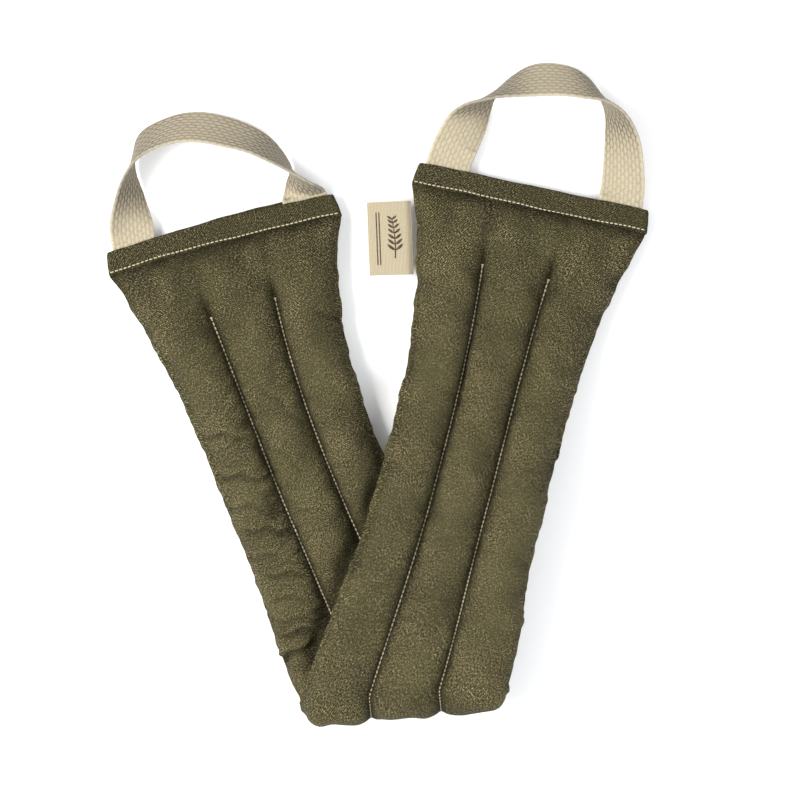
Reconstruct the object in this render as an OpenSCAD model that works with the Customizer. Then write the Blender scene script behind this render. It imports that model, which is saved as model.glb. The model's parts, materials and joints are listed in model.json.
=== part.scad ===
// Herbal heat wrap: a long cloth strip quilted into three filled channels. It is
// folded once across its middle, so its two arms lie in a V, the right one on top.
// Each end has a hem that holds a webbing handle, and a side seam holds a tape label.
//
// The table is z = 0. The origin is on the left arm's flat underside, +Y runs from
// the fold towards the arms' ends, and +X is to the right. An arm's places are given as
// t (distance from the fold along its centre line) and v (distance to its right).

/* [Arms] */
// Length of the left arm, which lies underneath
left_len = 288; // [280:1:296]
// Direction of the left arm at the fold, degrees clockwise from +Y
left_heading = -28.7; // [-30:0.1:-27]
// Direction of the left arm at its end
left_end_heading = -14.5; // [-18:0.1:-12]
// Length of the right arm, which lies on top
right_len = 298; // [290:1:306]
// Direction of the right arm at the fold
right_heading = 17; // [15:0.1:19]
// Direction of the right arm at its end
right_end_heading = 12; // [10:0.1:14]
// Half of an arm's width beside the fold
fold_half = 55; // [52:0.5:58]
// Half of an arm's width where the channels are full
waist_half = 47.5; // [46:0.5:50]
// Half of an arm's width where the flat hem starts
shoulder_half = 69; // [67:0.5:71]

/* [Padding] */
// Thickness of a full channel
full_thick = 25; // [24:0.5:26]
// Thickness of a channel beside the fold
fold_thick = 20; // [19:0.5:20]
// Thickness of the cloth
cloth = 0.8; // [0.6:0.1:1]
// Length of arm that closes down to the hem
bag_len = 45; // [40:1:50]
// Length of arm below the hem where the channel seams have stopped
open_len = 37; // [34:1:40]

/* [Fold] */
// Direction of the fold line, degrees anticlockwise from +X
fold_tilt = 5.3; // [4:0.1:6]
// Radius of the rolled cloth at the fold
roll_r = 16.5; // [15:0.1:16.5]
// Half of the fold's length
roll_half = 60; // [56:1:62]

/* [Bends] */
// Distance from the fold to the crosswise line where an arm bends
bend_at = 155; // [152:1:160]
// Greatest bend of an arm, up or down, that the rounded ends leave room for
bend_limit = 60; // [40:5:60]

/* [Hems] */
// Depth of the folded hem
hem_depth = 14; // [12:0.5:16]
// Thickness of the folded hem
hem_thick = 4.4; // [4.2:0.1:5]
// Half of the hem's width
hem_half = 67.5; // [66:0.5:69]
// Height of the hem's middle above the table
hem_z = 7; // [6:0.5:8]

/* [Handles] */
// Width of the cotton webbing
web_w = 25.4; // [25:0.1:26]
// Thickness of the webbing
web_t = 1.8; // [1.5:0.1:2]
// Distance from the arm's centre line to the middle of a handle's leg
leg_v = 50.5; // [49:0.5:52]
// Length of webbing sewn into the hem
tail_len = 12; // [8:0.5:12]

/* [Rest] */
// Distance from the fold to the origin, along the left arm
rest_at = 90; // [60:1:120]

/* [Label] */
// Length of the tape along the side seam
label_len = 42; // [38:1:44]
// Width of the folded tape
label_w = 25; // [22:1:27]
// Thickness of the tape
label_t = 0.5; // [0.4:0.1:0.6]
// Distance from the fold to the middle of the label
label_at = 253.5; // [248:0.5:256]

/* [Hidden] */

OLIVE = [0.40, 0.36, 0.25];
DARK_OLIVE = [0.33, 0.29, 0.20];
HERB = [0.55, 0.45, 0.28];
THREAD = [0.80, 0.75, 0.62];
WEBBING = [0.83, 0.77, 0.66];
TAPE = [0.81, 0.75, 0.63];

seam_gap = 0.5;          // half of the gap between the two panels along a seam
pinch = 0.8;             // half of the groove's width at a channel seam
fill_clear = 0.5;        // room between the fill and its channel
rest_clear = 0.5;        // room between the two arms, and round every hinge
thread_d = 0.7;          // diameter of the hem thread
seam_w = 0.8;            // width of a line of channel stitching
seam_h = 0.5;            // height of a line of channel stitching
hem_gap = 1.2;           // gap between the panels and the hem
flare_from = 140;        // where an arm starts to widen towards its hem
flare_power = 2.4;       // how late that widening comes
lift_peak = 23.2;        // height of the right arm's underside where it crosses the left
hinge_out = 1.5;         // a handle flexes this far outside its hem
flex_gap = 1.3;          // room on each side of the line where the webbing flexes
loop_start = hinge_out + flex_gap;
min_thick = 2 * (cloth + seam_gap) + 0.6;

fold_z = fold_thick + rest_clear;
// A rounded end at a bend: its middle sits this far from the bend line
bend_back = (full_thick / 2 + rest_clear) / cos(bend_limit / 2);
// A rounded end at the fold: it clears the roll
fold_back = sqrt(pow(roll_r + fold_thick / 2 + rest_clear, 2) - pow(fold_z - fold_thick / 2, 2));

// Angles of the points round a channel's rounded top and its pressed flat underside
CROWN = [180, 150, 120, 90, 60, 30, 0];
FLAT = [180, 150, 120, 60, 30, 0];

// An arm: direction at the fold, direction at its end, length, 1 if it lies on top
LEFT = [left_heading, left_end_heading, left_len, 0];
RIGHT = [right_heading, right_end_heading, right_len, 1];

// Rulings across each handle's twisted webbing, from one leg to the other: the high
// edge's place and the low edge's place, both beside the middle of the hem's outer
// edge, then the height of the ruling's middle above the hem
RIGHT_RULINGS = [
    [[-leg_v - web_w / 2, loop_start], [-leg_v + web_w / 2, loop_start], 0],
    [[-61, 16], [-36, 12], 2], [[-55, 31], [-33.5, 27], 3],
    [[-40, 40], [-31.5, 49], 7], [[-13, 48.5], [-15.5, 68], 5], [[14, 53.5], [10.5, 71], 5],
    [[34.5, 53], [28.5, 56], 7], [[51, 41], [34, 36], 5], [[60, 19], [37, 15], 2],
    [[leg_v + web_w / 2, loop_start], [leg_v - web_w / 2, loop_start], 0]
];
LEFT_RULINGS = [
    [[-leg_v - web_w / 2, loop_start], [-leg_v + web_w / 2, loop_start], 0],
    [[-61, 14], [-37, 11], 3], [[-54, 27], [-38, 25], 5],
    [[-43, 40], [-39, 46], 7], [[-30, 48], [-29, 63], 6], [[-6.5, 48.5], [1.5, 66], 5],
    [[23, 35.5], [34, 48], 6], [[44.5, 18.5], [47, 24], 7], [[57, 8], [42, 12], 6],
    [[leg_v + web_w / 2, loop_start], [leg_v - web_w / 2, loop_start], 0]
];

function clamp01(x) = min(1, max(0, x));
function mix(a, b, k) = a + (b - a) * k;
function smooth(a, b, x) = let(k = clamp01((x - a) / (b - a))) k * k * (3 - 2 * k);
// Height of a quarter circle that rises from 0 to 1 between a and b
function round_up(a, b, x) = let(k = 1 - clamp01((x - a) / (b - a))) sqrt(1 - k * k);

// Centre line of an arm, which is an arc
function heading(arm, t) = mix(arm[0], arm[1], t / arm[2]);
function across(arm, t) = [cos(heading(arm, t)), -sin(heading(arm, t)), 0];
function arc(arm, t) =
    let(r = arm[2] / (arm[1] - arm[0]) * 180 / PI, f = heading(arm, t))
    [(cos(arm[0]) - cos(f)) * r, (sin(f) - sin(arm[0])) * r, 0];
function centre(arm, t) = arc(arm, t) - arc(LEFT, rest_at);
// Crosswise lines turn to run along the fold line near the fold
function slant(arm, t) = tan(fold_tilt + arm[0]) * (1 - smooth(0, 110, t));
function arm_point(arm, t, v, z) =
    let(s = t + v * slant(arm, t)) centre(arm, s) + v * across(arm, s) + [0, 0, z];

// Width, thickness and height of an arm
function shoulder_t(arm) = arm[2] - hem_depth - hem_gap;
function half_width(arm, t) =
    waist_half + (fold_half - waist_half) * (1 - smooth(0, 110, t))
    + (shoulder_half - waist_half)
        * pow(clamp01((t - flare_from) / (shoulder_t(arm) - flare_from)), flare_power);
function bag_close(arm, t) = round_up(0, bag_len, shoulder_t(arm) - t);
function thickness(arm, t) =
    mix(hem_thick, mix(fold_thick, full_thick, smooth(30, mix(170, 100, arm[3]), t)), bag_close(arm, t));
function lift(arm, t) =
    arm[3] * mix(fold_z + rest_clear, lift_peak, smooth(0, 70, t)) * (1 - smooth(105, 245, t));
function mid_z(arm, t) =
    mix(hem_z, mix(fold_thick, full_thick, smooth(30, mix(170, 100, arm[3]), t)) / 2, bag_close(arm, t))
    + lift(arm, t);
// 0 where the channels are separate, 1 where they have joined into one bag
function joined(arm, t) = smooth(stitch_end(arm), arm[2] - hem_depth - 12, t);

// A segment: arm, start, end, length of its rounded start, length of its rounded end
LEFT_INNER = [LEFT, fold_tip(LEFT), bend_at - bend_back + full_thick / 2, fold_nose(LEFT), full_thick / 2];
LEFT_OUTER = [LEFT, bend_at + bend_back - full_thick / 2, shoulder_t(LEFT), full_thick / 2, 0];
RIGHT_INNER = [RIGHT, fold_tip(RIGHT), LEFT_INNER[2], fold_nose(RIGHT), full_thick / 2];
RIGHT_OUTER = [RIGHT, LEFT_OUTER[1], shoulder_t(RIGHT), full_thick / 2, 0];
function fold_nose(arm) = fold_thick / 2 / cos(fold_tilt + arm[0]);
function fold_tip(arm) = (fold_back - fold_thick / 2) / cos(fold_tilt + arm[0]);

function segment_thickness(seg, t) =
    let(start = seg[3] == 0 ? 1 : round_up(seg[1], seg[1] + seg[3], t),
        finish = seg[4] == 0 ? 1 : round_up(seg[2], seg[2] - seg[4], t))
    max(min_thick, thickness(seg[0], t) * start * finish);
// Where an arm's channel stitching stops
function stitch_end(arm) = arm[2] - hem_depth - open_len;
// Stations along a segment, close together round its ends, with one at the stitching's end
function stations(seg) =
    let(a = seg[1] + seg[3], end = seg[4] == 0 ? bag_len : seg[4], b = seg[2] - end)
    concat(
        [for (k = [0, 0.13, 0.5]) seg[1] + seg[3] * k],
        [for (i = [0 : 6]) mix(a, b, i / 6)],
        seg[4] == 0 ? [stitch_end(seg[0])] : [],
        [for (k = [0.35, 0.65, 0.87, 1]) b + end * k]);

// Rise of the cloth over channel j at angle a, 0 at its edge and 1 at its crest
function rise(j, a, half, m, crest) =
    let(u = (j - 1) * 2 / 3 + cos(a) / 3)
    mix(min(1, sin(a) / crest), sqrt(max(0, 1 - u * u)), m);
// One crosswise line of cloth: side is 1 for the top panel and -1 for the bottom
function cloth_row(seg, t, side, inset) =
    let(half = half_width(seg[0], t), z = mid_z(seg[0], t),
        depth = segment_thickness(seg, t) / 2 - cloth - seam_gap,
        m = joined(seg[0], t), angles = side > 0 ? CROWN : FLAT, crest = side > 0 ? 1 : sin(60))
    [for (j = [0 : 2], a = angles)
        arm_point(seg[0], t, (j - 1) * 2 * half / 3 + (half / 3 - pinch - inset) * cos(a),
            z + side * (seam_gap + cloth - inset + depth * rise(j, a, half, m, crest)))];
// One ring round the fill of channel j
function fill_ring(seg, t, j) =
    let(half = half_width(seg[0], t), z = mid_z(seg[0], t), m = joined(seg[0], t),
        depth = segment_thickness(seg, t) / 2 - cloth - seam_gap - fill_clear,
        r = half / 3 - pinch - cloth - fill_clear, c = (j - 1) * 2 * half / 3)
    concat(
        [for (a = CROWN) arm_point(seg[0], t, c + r * cos(a),
            z + seam_gap / 2 + depth * rise(j, a, half, m, 1))],
        [for (i = [len(FLAT) - 1 : -1 : 0]) arm_point(seg[0], t, c + r * cos(FLAT[i]),
            z - seam_gap / 2 - depth * rise(j, FLAT[i], half, m, sin(60)))]);

function flat_list(rows) = [for (row = rows, p = row) p];
function quad(a, b, c, d) = [[a, b, c], [a, c, d]];

// A solid between an upper and a lower grid of points. Rows run along the arm and
// the points of a row run from left to right.
module thick_sheet(upper, lower) {
    n = len(upper);
    m = len(upper[0]);
    function at(g, s, i) = (g * n + s) * m + i;
    faces = concat(
        [for (s = [0 : n - 2], i = [0 : m - 2]) each concat(
            quad(at(0, s, i), at(0, s + 1, i), at(0, s + 1, i + 1), at(0, s, i + 1)),
            quad(at(1, s, i), at(1, s, i + 1), at(1, s + 1, i + 1), at(1, s + 1, i)))],
        [for (s = [0 : n - 2]) each concat(
            quad(at(0, s, 0), at(1, s, 0), at(1, s + 1, 0), at(0, s + 1, 0)),
            quad(at(0, s, m - 1), at(0, s + 1, m - 1), at(1, s + 1, m - 1), at(1, s, m - 1)))],
        [for (i = [0 : m - 2]) each concat(
            quad(at(0, 0, i), at(0, 0, i + 1), at(1, 0, i + 1), at(1, 0, i)),
            quad(at(0, n - 1, i), at(1, n - 1, i), at(1, n - 1, i + 1), at(0, n - 1, i + 1)))]);
    polyhedron(concat(flat_list(upper), flat_list(lower)), faces);
}

// A solid through closed rings of points, each clockwise seen from the start. The first
// points of a ring are its top, left to right; every facet is cut the way the cloth's are.
module loft(rings, top_points) {
    n = len(rings);
    m = len(rings[0]);
    faces = concat(
        [for (s = [0 : n - 2], i = [0 : m - 1])
            let(a = s * m + i, b = a + m, d = s * m + (i + 1) % m, c = d + m)
            each (i < top_points ? quad(a, b, c, d) : quad(b, c, d, a))],
        [for (i = [1 : m - 2]) [0, i, i + 1]],
        [for (i = [1 : m - 2]) [(n - 1) * m, (n - 1) * m + i + 1, (n - 1) * m + i]]);
    polyhedron(flat_list(rings), faces);
}

module panel(seg, side) {
    outside = [for (t = stations(seg)) cloth_row(seg, t, side, 0)];
    inside = [for (t = stations(seg)) cloth_row(seg, t, side, cloth)];
    color(OLIVE)
        if (side > 0) thick_sheet(outside, inside);
        else thick_sheet(inside, outside);
}

module fill(seg, channel) {
    rows = stations(seg);
    color(HERB) loft([for (i = [2 : len(rows) - 2]) fill_ring(seg, rows[i], channel - 1)], len(CROWN));
}

function seam_rows(seg, rows, line, h) =
    [for (t = rows) [for (v = [-seam_w / 2, seam_w / 2])
        arm_point(seg[0], t, line * half_width(seg[0], t) / 3 + v, mid_z(seg[0], t) + h)]];

// Two lines of channel stitching, on the top and on the underside
module seams(seg) {
    rows = [for (t = stations(seg)) if (t < stitch_end(seg[0]) + 0.1) t];
    color(THREAD)
        for (line = [-1, 1], base = [seam_gap + cloth + 0.05, -seam_gap - cloth - 0.05 - seam_h])
            thick_sheet(seam_rows(seg, rows, line, base + seam_h), seam_rows(seg, rows, line, base));
}

// Radius of the roll at the fold, measured over the three channels
module roll_profile(inset, ends) {
    third = roll_half / 3;
    valley = 0.72 * roll_r;
    polygon(concat(
        [[-roll_half - ends, 0], [-roll_half - ends, valley - inset]],
        [for (j = [0 : 2], a = CROWN)
            [(j - 1) * 2 * third + (third - pinch) * cos(a),
                valley - inset + (roll_r - valley) * sin(a)]],
        [[roll_half + ends, valley - inset], [roll_half + ends, 0]]));
}

module at_fold() {
    translate(centre(LEFT, 0) + [0, 0, fold_z]) rotate([0, 0, fold_tilt])
        rotate([0, 90, 0]) rotate([0, 0, 90]) children();
}

module roll(inset, ends) {
    rotate_extrude($fn = 64) rotate([0, 0, 90]) mirror([0, 1, 0]) roll_profile(inset, ends);
}

module fold_cover() {
    color(OLIVE) at_fold() difference() {
        roll(0, 0);
        roll(cloth, 1);
    }
}

module fold_fill() {
    third = roll_half / 3;
    color(HERB) at_fold() for (j = [-1 : 1])
        intersection() {
            roll(cloth + fill_clear, 0);
            translate([0, 0, 2 * j * third]) cylinder(h = 2 * (third - 1), r = roll_r, center = true);
        }
}

// Frame with its origin in the middle of a hem's outer edge, +X along the hem
module at_end(arm) {
    p = centre(arm, arm[2]);
    translate([p[0], p[1], hem_z]) rotate([0, 0, -arm[1]]) children();
}

module tail(room) {
    for (side = [-1, 1])
        translate([side * leg_v - web_w / 2 - room, -tail_len - room, -web_t / 2 - room])
            cube([web_w + 2 * room, tail_len + hinge_out - flex_gap + 2 * room, web_t + 2 * room]);
}

module hem(arm) {
    color(DARK_OLIVE) at_end(arm) difference() {
        translate([-hem_half, -hem_depth, -hem_thick / 2]) cube([2 * hem_half, hem_depth, hem_thick]);
        tail(0.2);
    }
}

module hem_stitching(arm) {
    color(THREAD) at_end(arm)
        for (side = [-1, 1])
            translate([0, 1.5 - hem_depth, side * (hem_thick / 2 + thread_d / 2 + 0.05)])
                rotate([0, 90, 0])
                    cylinder(h = 2 * hem_half - 2, r = thread_d / 2, center = true, $fn = 24);
}

module handle_tails(arm) {
    color(WEBBING) at_end(arm) tail(0);
}

// A smooth curve through four neighbouring values, k from 0 to 1 between b and c
function spline(a, b, c, d, k) =
    0.5 * (2 * b + (c - a) * k + (2 * a - 5 * b + 4 * c - d) * k * k
        + (3 * b - a - 3 * c + d) * k * k * k);
function ruling(rows, s) =
    let(last = len(rows) - 1, i = min(last - 1, floor(s)), k = s - i,
        a = rows[max(0, i - 1)], b = rows[i], c = rows[i + 1], d = rows[min(last, i + 2)],
        high = spline(a[0], b[0], c[0], d[0], k), low = spline(a[1], b[1], c[1], d[1], k),
        z = spline(a[2], b[2], c[2], d[2], k), flat = norm(high - low),
        tall = sqrt(max(0, web_w * web_w - flat * flat)))
    [[high[0], high[1], z + tall / 2], [low[0], low[1], z - tall / 2]];

module handle_loop(arm, rows) {
    steps = 3;
    count = (len(rows) - 1) * steps;
    lines = [for (i = [0 : count]) ruling(rows, i / steps)];
    function normal(i) =
        let(along = (lines[min(count, i + 1)] - lines[max(0, i - 1)]) * 0.5,
            n = cross((along[0] + along[1]) / 2, lines[i][1] - lines[i][0]))
        n / norm(n) * web_t / 2;
    function face(side) = [for (i = [0 : count]) [for (p = lines[i]) p + side * normal(i)]];
    color(WEBBING) at_end(arm) thick_sheet(face(-1), face(1));
}

module tape_label() {
    edge = -half_width(RIGHT, label_at) - 3 * label_t - rest_clear;
    p = arm_point(RIGHT, label_at, edge, mid_z(RIGHT, label_at));
    before = arm_point(RIGHT, label_at - label_len / 2, -half_width(RIGHT, label_at - label_len / 2), 0);
    after = arm_point(RIGHT, label_at + label_len / 2, -half_width(RIGHT, label_at + label_len / 2), 0);
    turn = atan2(after[1] - before[1], after[0] - before[0]);
    color(TAPE) translate(p) rotate([0, 0, turn]) rotate([90, 0, 90])
        linear_extrude(height = label_len, center = true) {
            for (side = [-1, 1])
                translate([label_w / 2, side * label_t]) square([label_w, label_t], center = true);
            translate([label_w, 0]) intersection() {
                difference() {
                    circle(r = 1.5 * label_t, $fn = 32);
                    circle(r = 0.5 * label_t, $fn = 32);
                }
                translate([0, -2 * label_t]) square([2 * label_t, 4 * label_t]);
            }
        }
}

panel(LEFT_INNER, 1);  // left_inner_top_panel
panel(LEFT_INNER, -1);  // left_inner_bottom_panel
fill(LEFT_INNER, 1);  // left_inner_fill_1
fill(LEFT_INNER, 2);  // left_inner_fill_2
fill(LEFT_INNER, 3);  // left_inner_fill_3
seams(LEFT_INNER);  // left_inner_seams
fold_cover();
fold_fill();
panel(LEFT_OUTER, 1);  // left_outer_top_panel
panel(LEFT_OUTER, -1);  // left_outer_bottom_panel
fill(LEFT_OUTER, 1);  // left_outer_fill_1
fill(LEFT_OUTER, 2);  // left_outer_fill_2
fill(LEFT_OUTER, 3);  // left_outer_fill_3
seams(LEFT_OUTER);  // left_outer_seams
hem(LEFT);  // left_hem
hem_stitching(LEFT);  // left_hem_stitching
handle_tails(LEFT);  // left_handle_tails
handle_loop(LEFT, LEFT_RULINGS);  // left_handle_loop
panel(RIGHT_INNER, 1);  // right_inner_top_panel
panel(RIGHT_INNER, -1);  // right_inner_bottom_panel
fill(RIGHT_INNER, 1);  // right_inner_fill_1
fill(RIGHT_INNER, 2);  // right_inner_fill_2
fill(RIGHT_INNER, 3);  // right_inner_fill_3
seams(RIGHT_INNER);  // right_inner_seams
panel(RIGHT_OUTER, 1);  // right_outer_top_panel
panel(RIGHT_OUTER, -1);  // right_outer_bottom_panel
fill(RIGHT_OUTER, 1);  // right_outer_fill_1
fill(RIGHT_OUTER, 2);  // right_outer_fill_2
fill(RIGHT_OUTER, 3);  // right_outer_fill_3
seams(RIGHT_OUTER);  // right_outer_seams
hem(RIGHT);  // right_hem
hem_stitching(RIGHT);  // right_hem_stitching
handle_tails(RIGHT);  // right_handle_tails
handle_loop(RIGHT, RIGHT_RULINGS);  // right_handle_loop
tape_label();
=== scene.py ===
"""Looks of a herbal heat wrap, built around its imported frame.

The wrap is a quilted cloth strip folded once across its middle. Its shape follows the
frame's joints: the fold, a bend in each arm and a handle at each end. Places on an arm
are t, the distance from the fold along its centre line, and v, the distance to the
right. Lengths are in millimetres until a mesh is made.
"""
import json
import math

import bmesh
import bpy
import numpy as np
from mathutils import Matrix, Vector, noise


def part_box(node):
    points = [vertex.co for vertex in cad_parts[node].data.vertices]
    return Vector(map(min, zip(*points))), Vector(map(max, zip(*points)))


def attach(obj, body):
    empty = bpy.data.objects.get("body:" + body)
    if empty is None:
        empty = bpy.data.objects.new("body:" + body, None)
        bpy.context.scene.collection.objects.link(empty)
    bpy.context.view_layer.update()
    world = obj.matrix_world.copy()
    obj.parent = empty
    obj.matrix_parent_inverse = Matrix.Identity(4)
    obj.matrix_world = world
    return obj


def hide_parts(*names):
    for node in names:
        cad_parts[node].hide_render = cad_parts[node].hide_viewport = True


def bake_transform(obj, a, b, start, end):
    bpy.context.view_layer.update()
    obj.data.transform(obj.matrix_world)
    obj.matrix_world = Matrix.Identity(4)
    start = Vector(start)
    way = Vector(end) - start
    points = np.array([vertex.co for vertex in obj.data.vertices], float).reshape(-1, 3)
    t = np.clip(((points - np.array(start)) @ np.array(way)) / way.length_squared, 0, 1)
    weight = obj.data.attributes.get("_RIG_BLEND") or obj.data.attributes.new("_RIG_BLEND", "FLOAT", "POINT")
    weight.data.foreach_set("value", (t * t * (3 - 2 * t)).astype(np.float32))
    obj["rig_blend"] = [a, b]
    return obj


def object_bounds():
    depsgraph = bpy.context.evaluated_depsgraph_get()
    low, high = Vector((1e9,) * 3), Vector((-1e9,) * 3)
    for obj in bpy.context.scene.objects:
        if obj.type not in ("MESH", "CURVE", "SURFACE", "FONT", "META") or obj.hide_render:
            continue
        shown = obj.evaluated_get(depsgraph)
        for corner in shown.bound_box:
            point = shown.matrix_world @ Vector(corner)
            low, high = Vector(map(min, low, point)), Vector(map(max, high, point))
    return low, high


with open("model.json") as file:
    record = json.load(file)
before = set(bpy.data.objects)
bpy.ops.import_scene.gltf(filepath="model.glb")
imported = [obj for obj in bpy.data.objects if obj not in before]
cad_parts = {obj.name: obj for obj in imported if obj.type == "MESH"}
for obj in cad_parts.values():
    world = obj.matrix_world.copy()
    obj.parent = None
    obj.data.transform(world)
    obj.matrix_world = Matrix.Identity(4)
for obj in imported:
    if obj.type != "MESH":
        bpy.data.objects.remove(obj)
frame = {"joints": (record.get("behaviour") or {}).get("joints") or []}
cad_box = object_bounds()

MM = 0.001
SEED = 7
UP = np.array([0.0, 0.0, 1.0])

# The strip: the same driving sizes as the CAD
FOLD_HALF = 55.0        # half of an arm's width beside the fold
WAIST_HALF = 47.5       # and where the channels are full
SHOULDER_HALF = 69.0    # and where the flat hem starts
FULL_THICK = 25.0       # thickness of a full channel
FOLD_THICK = 20.0       # thickness beside the fold
BAG_LEN = 45.0          # length of arm that closes down to the hem
OPEN_LEN = 37.0         # length of arm below the hem with no channel seams
LIFT_PEAK = 23.2        # height of the right arm's underside where it crosses
NOSE_OUT = 16.5         # radius of the fold's outer face, at its middle
NOSE_LEN = 54.0         # cloth round the fold, measured on its outer face
NOSE_CORNER = 0.80      # the fold's two ends are rounded from here on, as a share of its half
FLARE_FROM = 140.0      # where an arm starts to widen towards its hem
FLARE_POWER = 2.4
SEAM_RISE = 2.3         # height of the cloth over the middle layer along a seam
SEAM_FLOOR = 0.045      # flat floor of a seam's valley, as a share of half a channel
FLAT_WIDTH = 140.0      # width of the strip before it is filled
CUT_AT = 84.0           # the cover is split into pieces here, clear of every joint
BEND_SPREAD = 30.0      # cloth on each side of a bend that takes part in it
HEM_DEPTH = 14.0
HEM_HALF = 67.5
HEM_THICK = 4.4
HINGE_OUT = 1.5         # a handle flexes this far outside its hem
WEB_W = 25.4
WEB_T = 1.8
LEG_V = 50.5            # from the arm's centre line to the middle of a handle's leg

# How finely the cover is meshed before its one subdivision, and its simulation
COLUMNS = 12            # columns to a channel, on each face
ROW_STEP = 3.0
SIM_FRAMES = 22
SIM_CAP = 2.2           # furthest a point of the cover may move

JOINTS = {j["name"]: j for j in frame["joints"]}


# ---------------------------------------------------------------- small helpers
def mix(a, b, k):
    return a + (b - a) * k


def smooth(a, b, x):
    k = np.clip((x - a) / (b - a), 0.0, 1.0)
    return k * k * (3.0 - 2.0 * k)


def quarter_circle(x):
    """0 at x 0, 1 at x 1, rising steeply first, like a rounded edge."""
    k = 1.0 - np.clip(x, 0.0, 1.0)
    return np.sqrt(1.0 - k * k)


def joint_place(name):
    return np.array(JOINTS[name]["pos_m"], float) / MM


def joint_axis(name):
    axis = np.array(JOINTS[name]["axis"], float)
    return axis / np.linalg.norm(axis)


def ripple(points, scale, seed):
    """Smooth noise between about -1 and 1 at each point; scale is a wavelength in mm."""
    shift = Vector((seed * 17.3, seed * 5.1, seed * 9.7))
    return np.array([noise.noise(Vector(p) / scale + shift) for p in points]) * 1.6


# ---------------------------------------------------------------- the arms
class Arm:
    """One arm's centre line, an arc through the fold, the bend and the handle hinge."""

    def __init__(self, side, on_top, hem_bow):
        self.side = side
        self.on_top = on_top
        self.hem_bow = hem_bow
        self.fold = joint_place("centre_fold")
        bend = joint_place(side + "_bend")
        end = joint_place(side + "_handle_hinge")
        heading = {}
        for name in ("_bend", "_handle_hinge"):
            axis = joint_axis(side + name)
            heading[name] = math.atan2(-axis[1], axis[0])
        self.bend_t = float(np.linalg.norm((bend - self.fold)[:2]))
        reach = float(np.linalg.norm((end - bend)[:2]))
        self.length = self.bend_t + reach - HINGE_OUT
        self.turn = (heading["_handle_hinge"] - heading["_bend"]) / reach
        self.heading = heading["_bend"] - self.turn * self.bend_t
        self.hem_z = end[2]
        fold_axis = joint_axis("centre_fold")
        tilt = math.atan2(fold_axis[1], fold_axis[0])
        self.skew = math.tan(tilt + self.heading)
        self.fold_cos = math.cos(tilt + self.heading)
        self.shoulder = self.length - HEM_DEPTH + 1.5
        self.fill_reach = 100.0 if on_top else 170.0

    def centre(self, t):
        f = self.heading + self.turn * t
        x = self.fold[0] + (math.cos(self.heading) - np.cos(f)) / self.turn
        y = self.fold[1] + (np.sin(f) - math.sin(self.heading)) / self.turn
        return x, y

    def place(self, t, v, z):
        """Points at distance t from the fold and v to the right, as an array (..., 3)."""
        bow = self.hem_bow * (1.0 - (v / SHOULDER_HALF) ** 2)
        s = t + v * self.skew * (1.0 - smooth(0.0, 110.0, t))
        s = s + bow * smooth(self.length - 70.0, self.length, t)
        x, y = self.centre(s)
        f = self.heading + self.turn * s
        return np.stack([x + v * np.cos(f), y - v * np.sin(f), z + 0.0 * v], axis=-1)

    def half_width(self, t):
        beside_fold = (FOLD_HALF - WAIST_HALF) * (1.0 - smooth(0.0, 110.0, t))
        flare = np.clip((t - FLARE_FROM) / (self.shoulder - FLARE_FROM), 0.0, 1.0)
        return WAIST_HALF + beside_fold + (SHOULDER_HALF - WAIST_HALF) * flare ** FLARE_POWER

    def full(self, t):
        return mix(FOLD_THICK, FULL_THICK, smooth(30.0, self.fill_reach, t))

    def bag_close(self, t):
        return quarter_circle((self.length - HEM_DEPTH - 0.6 - t) / BAG_LEN)

    def thickness(self, t):
        return mix(2.6, self.full(t), self.bag_close(t))

    def mid_z(self, t):
        z = mix(self.hem_z, self.full(t) / 2.0, self.bag_close(t))
        if self.on_top:
            start = self.fold[2] + 0.5
            z = z + mix(start, LIFT_PEAK, smooth(0.0, 70.0, t)) * (1.0 - smooth(105.0, 245.0, t))
        return z

    def joined(self, t):
        """0 where the channels are separate, 1 where they have become one bag."""
        stop = self.length - HEM_DEPTH - OPEN_LEN
        return smooth(stop - 6.0, stop + 25.0, t)

    def local(self, xy):
        """Distance from the fold and to the right of the centre line, for places in plan."""
        radius = 1.0 / self.turn
        heading = np.array([math.cos(self.heading), -math.sin(self.heading)])
        spoke = -np.sign(radius) * (xy - self.fold[:2] - radius * heading)
        f = np.arctan2(-spoke[:, 1], spoke[:, 0])
        v = radius - np.sign(radius) * np.linalg.norm(spoke, axis=1)
        return (f - self.heading) / self.turn, v


LEFT = Arm("left", False, 2.2)
RIGHT = Arm("right", True, 0.0)


# ---------------------------------------------------------------- cross-section
def rise(u, joined, flat):
    """Height of the cloth over the middle layer, 0 at a seam and 1 at a crest.

    u runs from -1 to 1 across the strip, joined turns three channels into one bag,
    and flat presses the crests flat, as the table does."""
    x = np.abs(3.0 * u - 2.0 * np.round(1.5 * u))
    x = np.clip(1.0 - (1.0 - x - SEAM_FLOOR) / (1.0 - SEAM_FLOOR), 0.0, 1.0)
    outer = smooth(0.75, 0.95, np.abs(u))
    power = mix(0.54, 0.5, outer)
    lobe = np.clip(1.0 - x ** 2.2, 0.0, 1.0) ** power
    pressed = 1.0 - (1.0 - np.clip(lobe * 1.18, 0.0, 1.0)) ** 1.4
    lobe = mix(lobe, np.clip(pressed, 0.0, 1.0), flat)
    bag = np.clip(1.0 - u * u, 0.0, 1.0) ** 0.5
    return mix(lobe, bag * mix(1.0, 0.9 + 0.1 * lobe, 0.5), joined)


def height(u, thick, joined, flat):
    seam = SEAM_RISE * (1.0 - smooth(0.9, 1.0, np.abs(u)))
    return np.sqrt((rise(u, joined, flat) * thick / 2.0) ** 2 + seam * seam)


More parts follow.
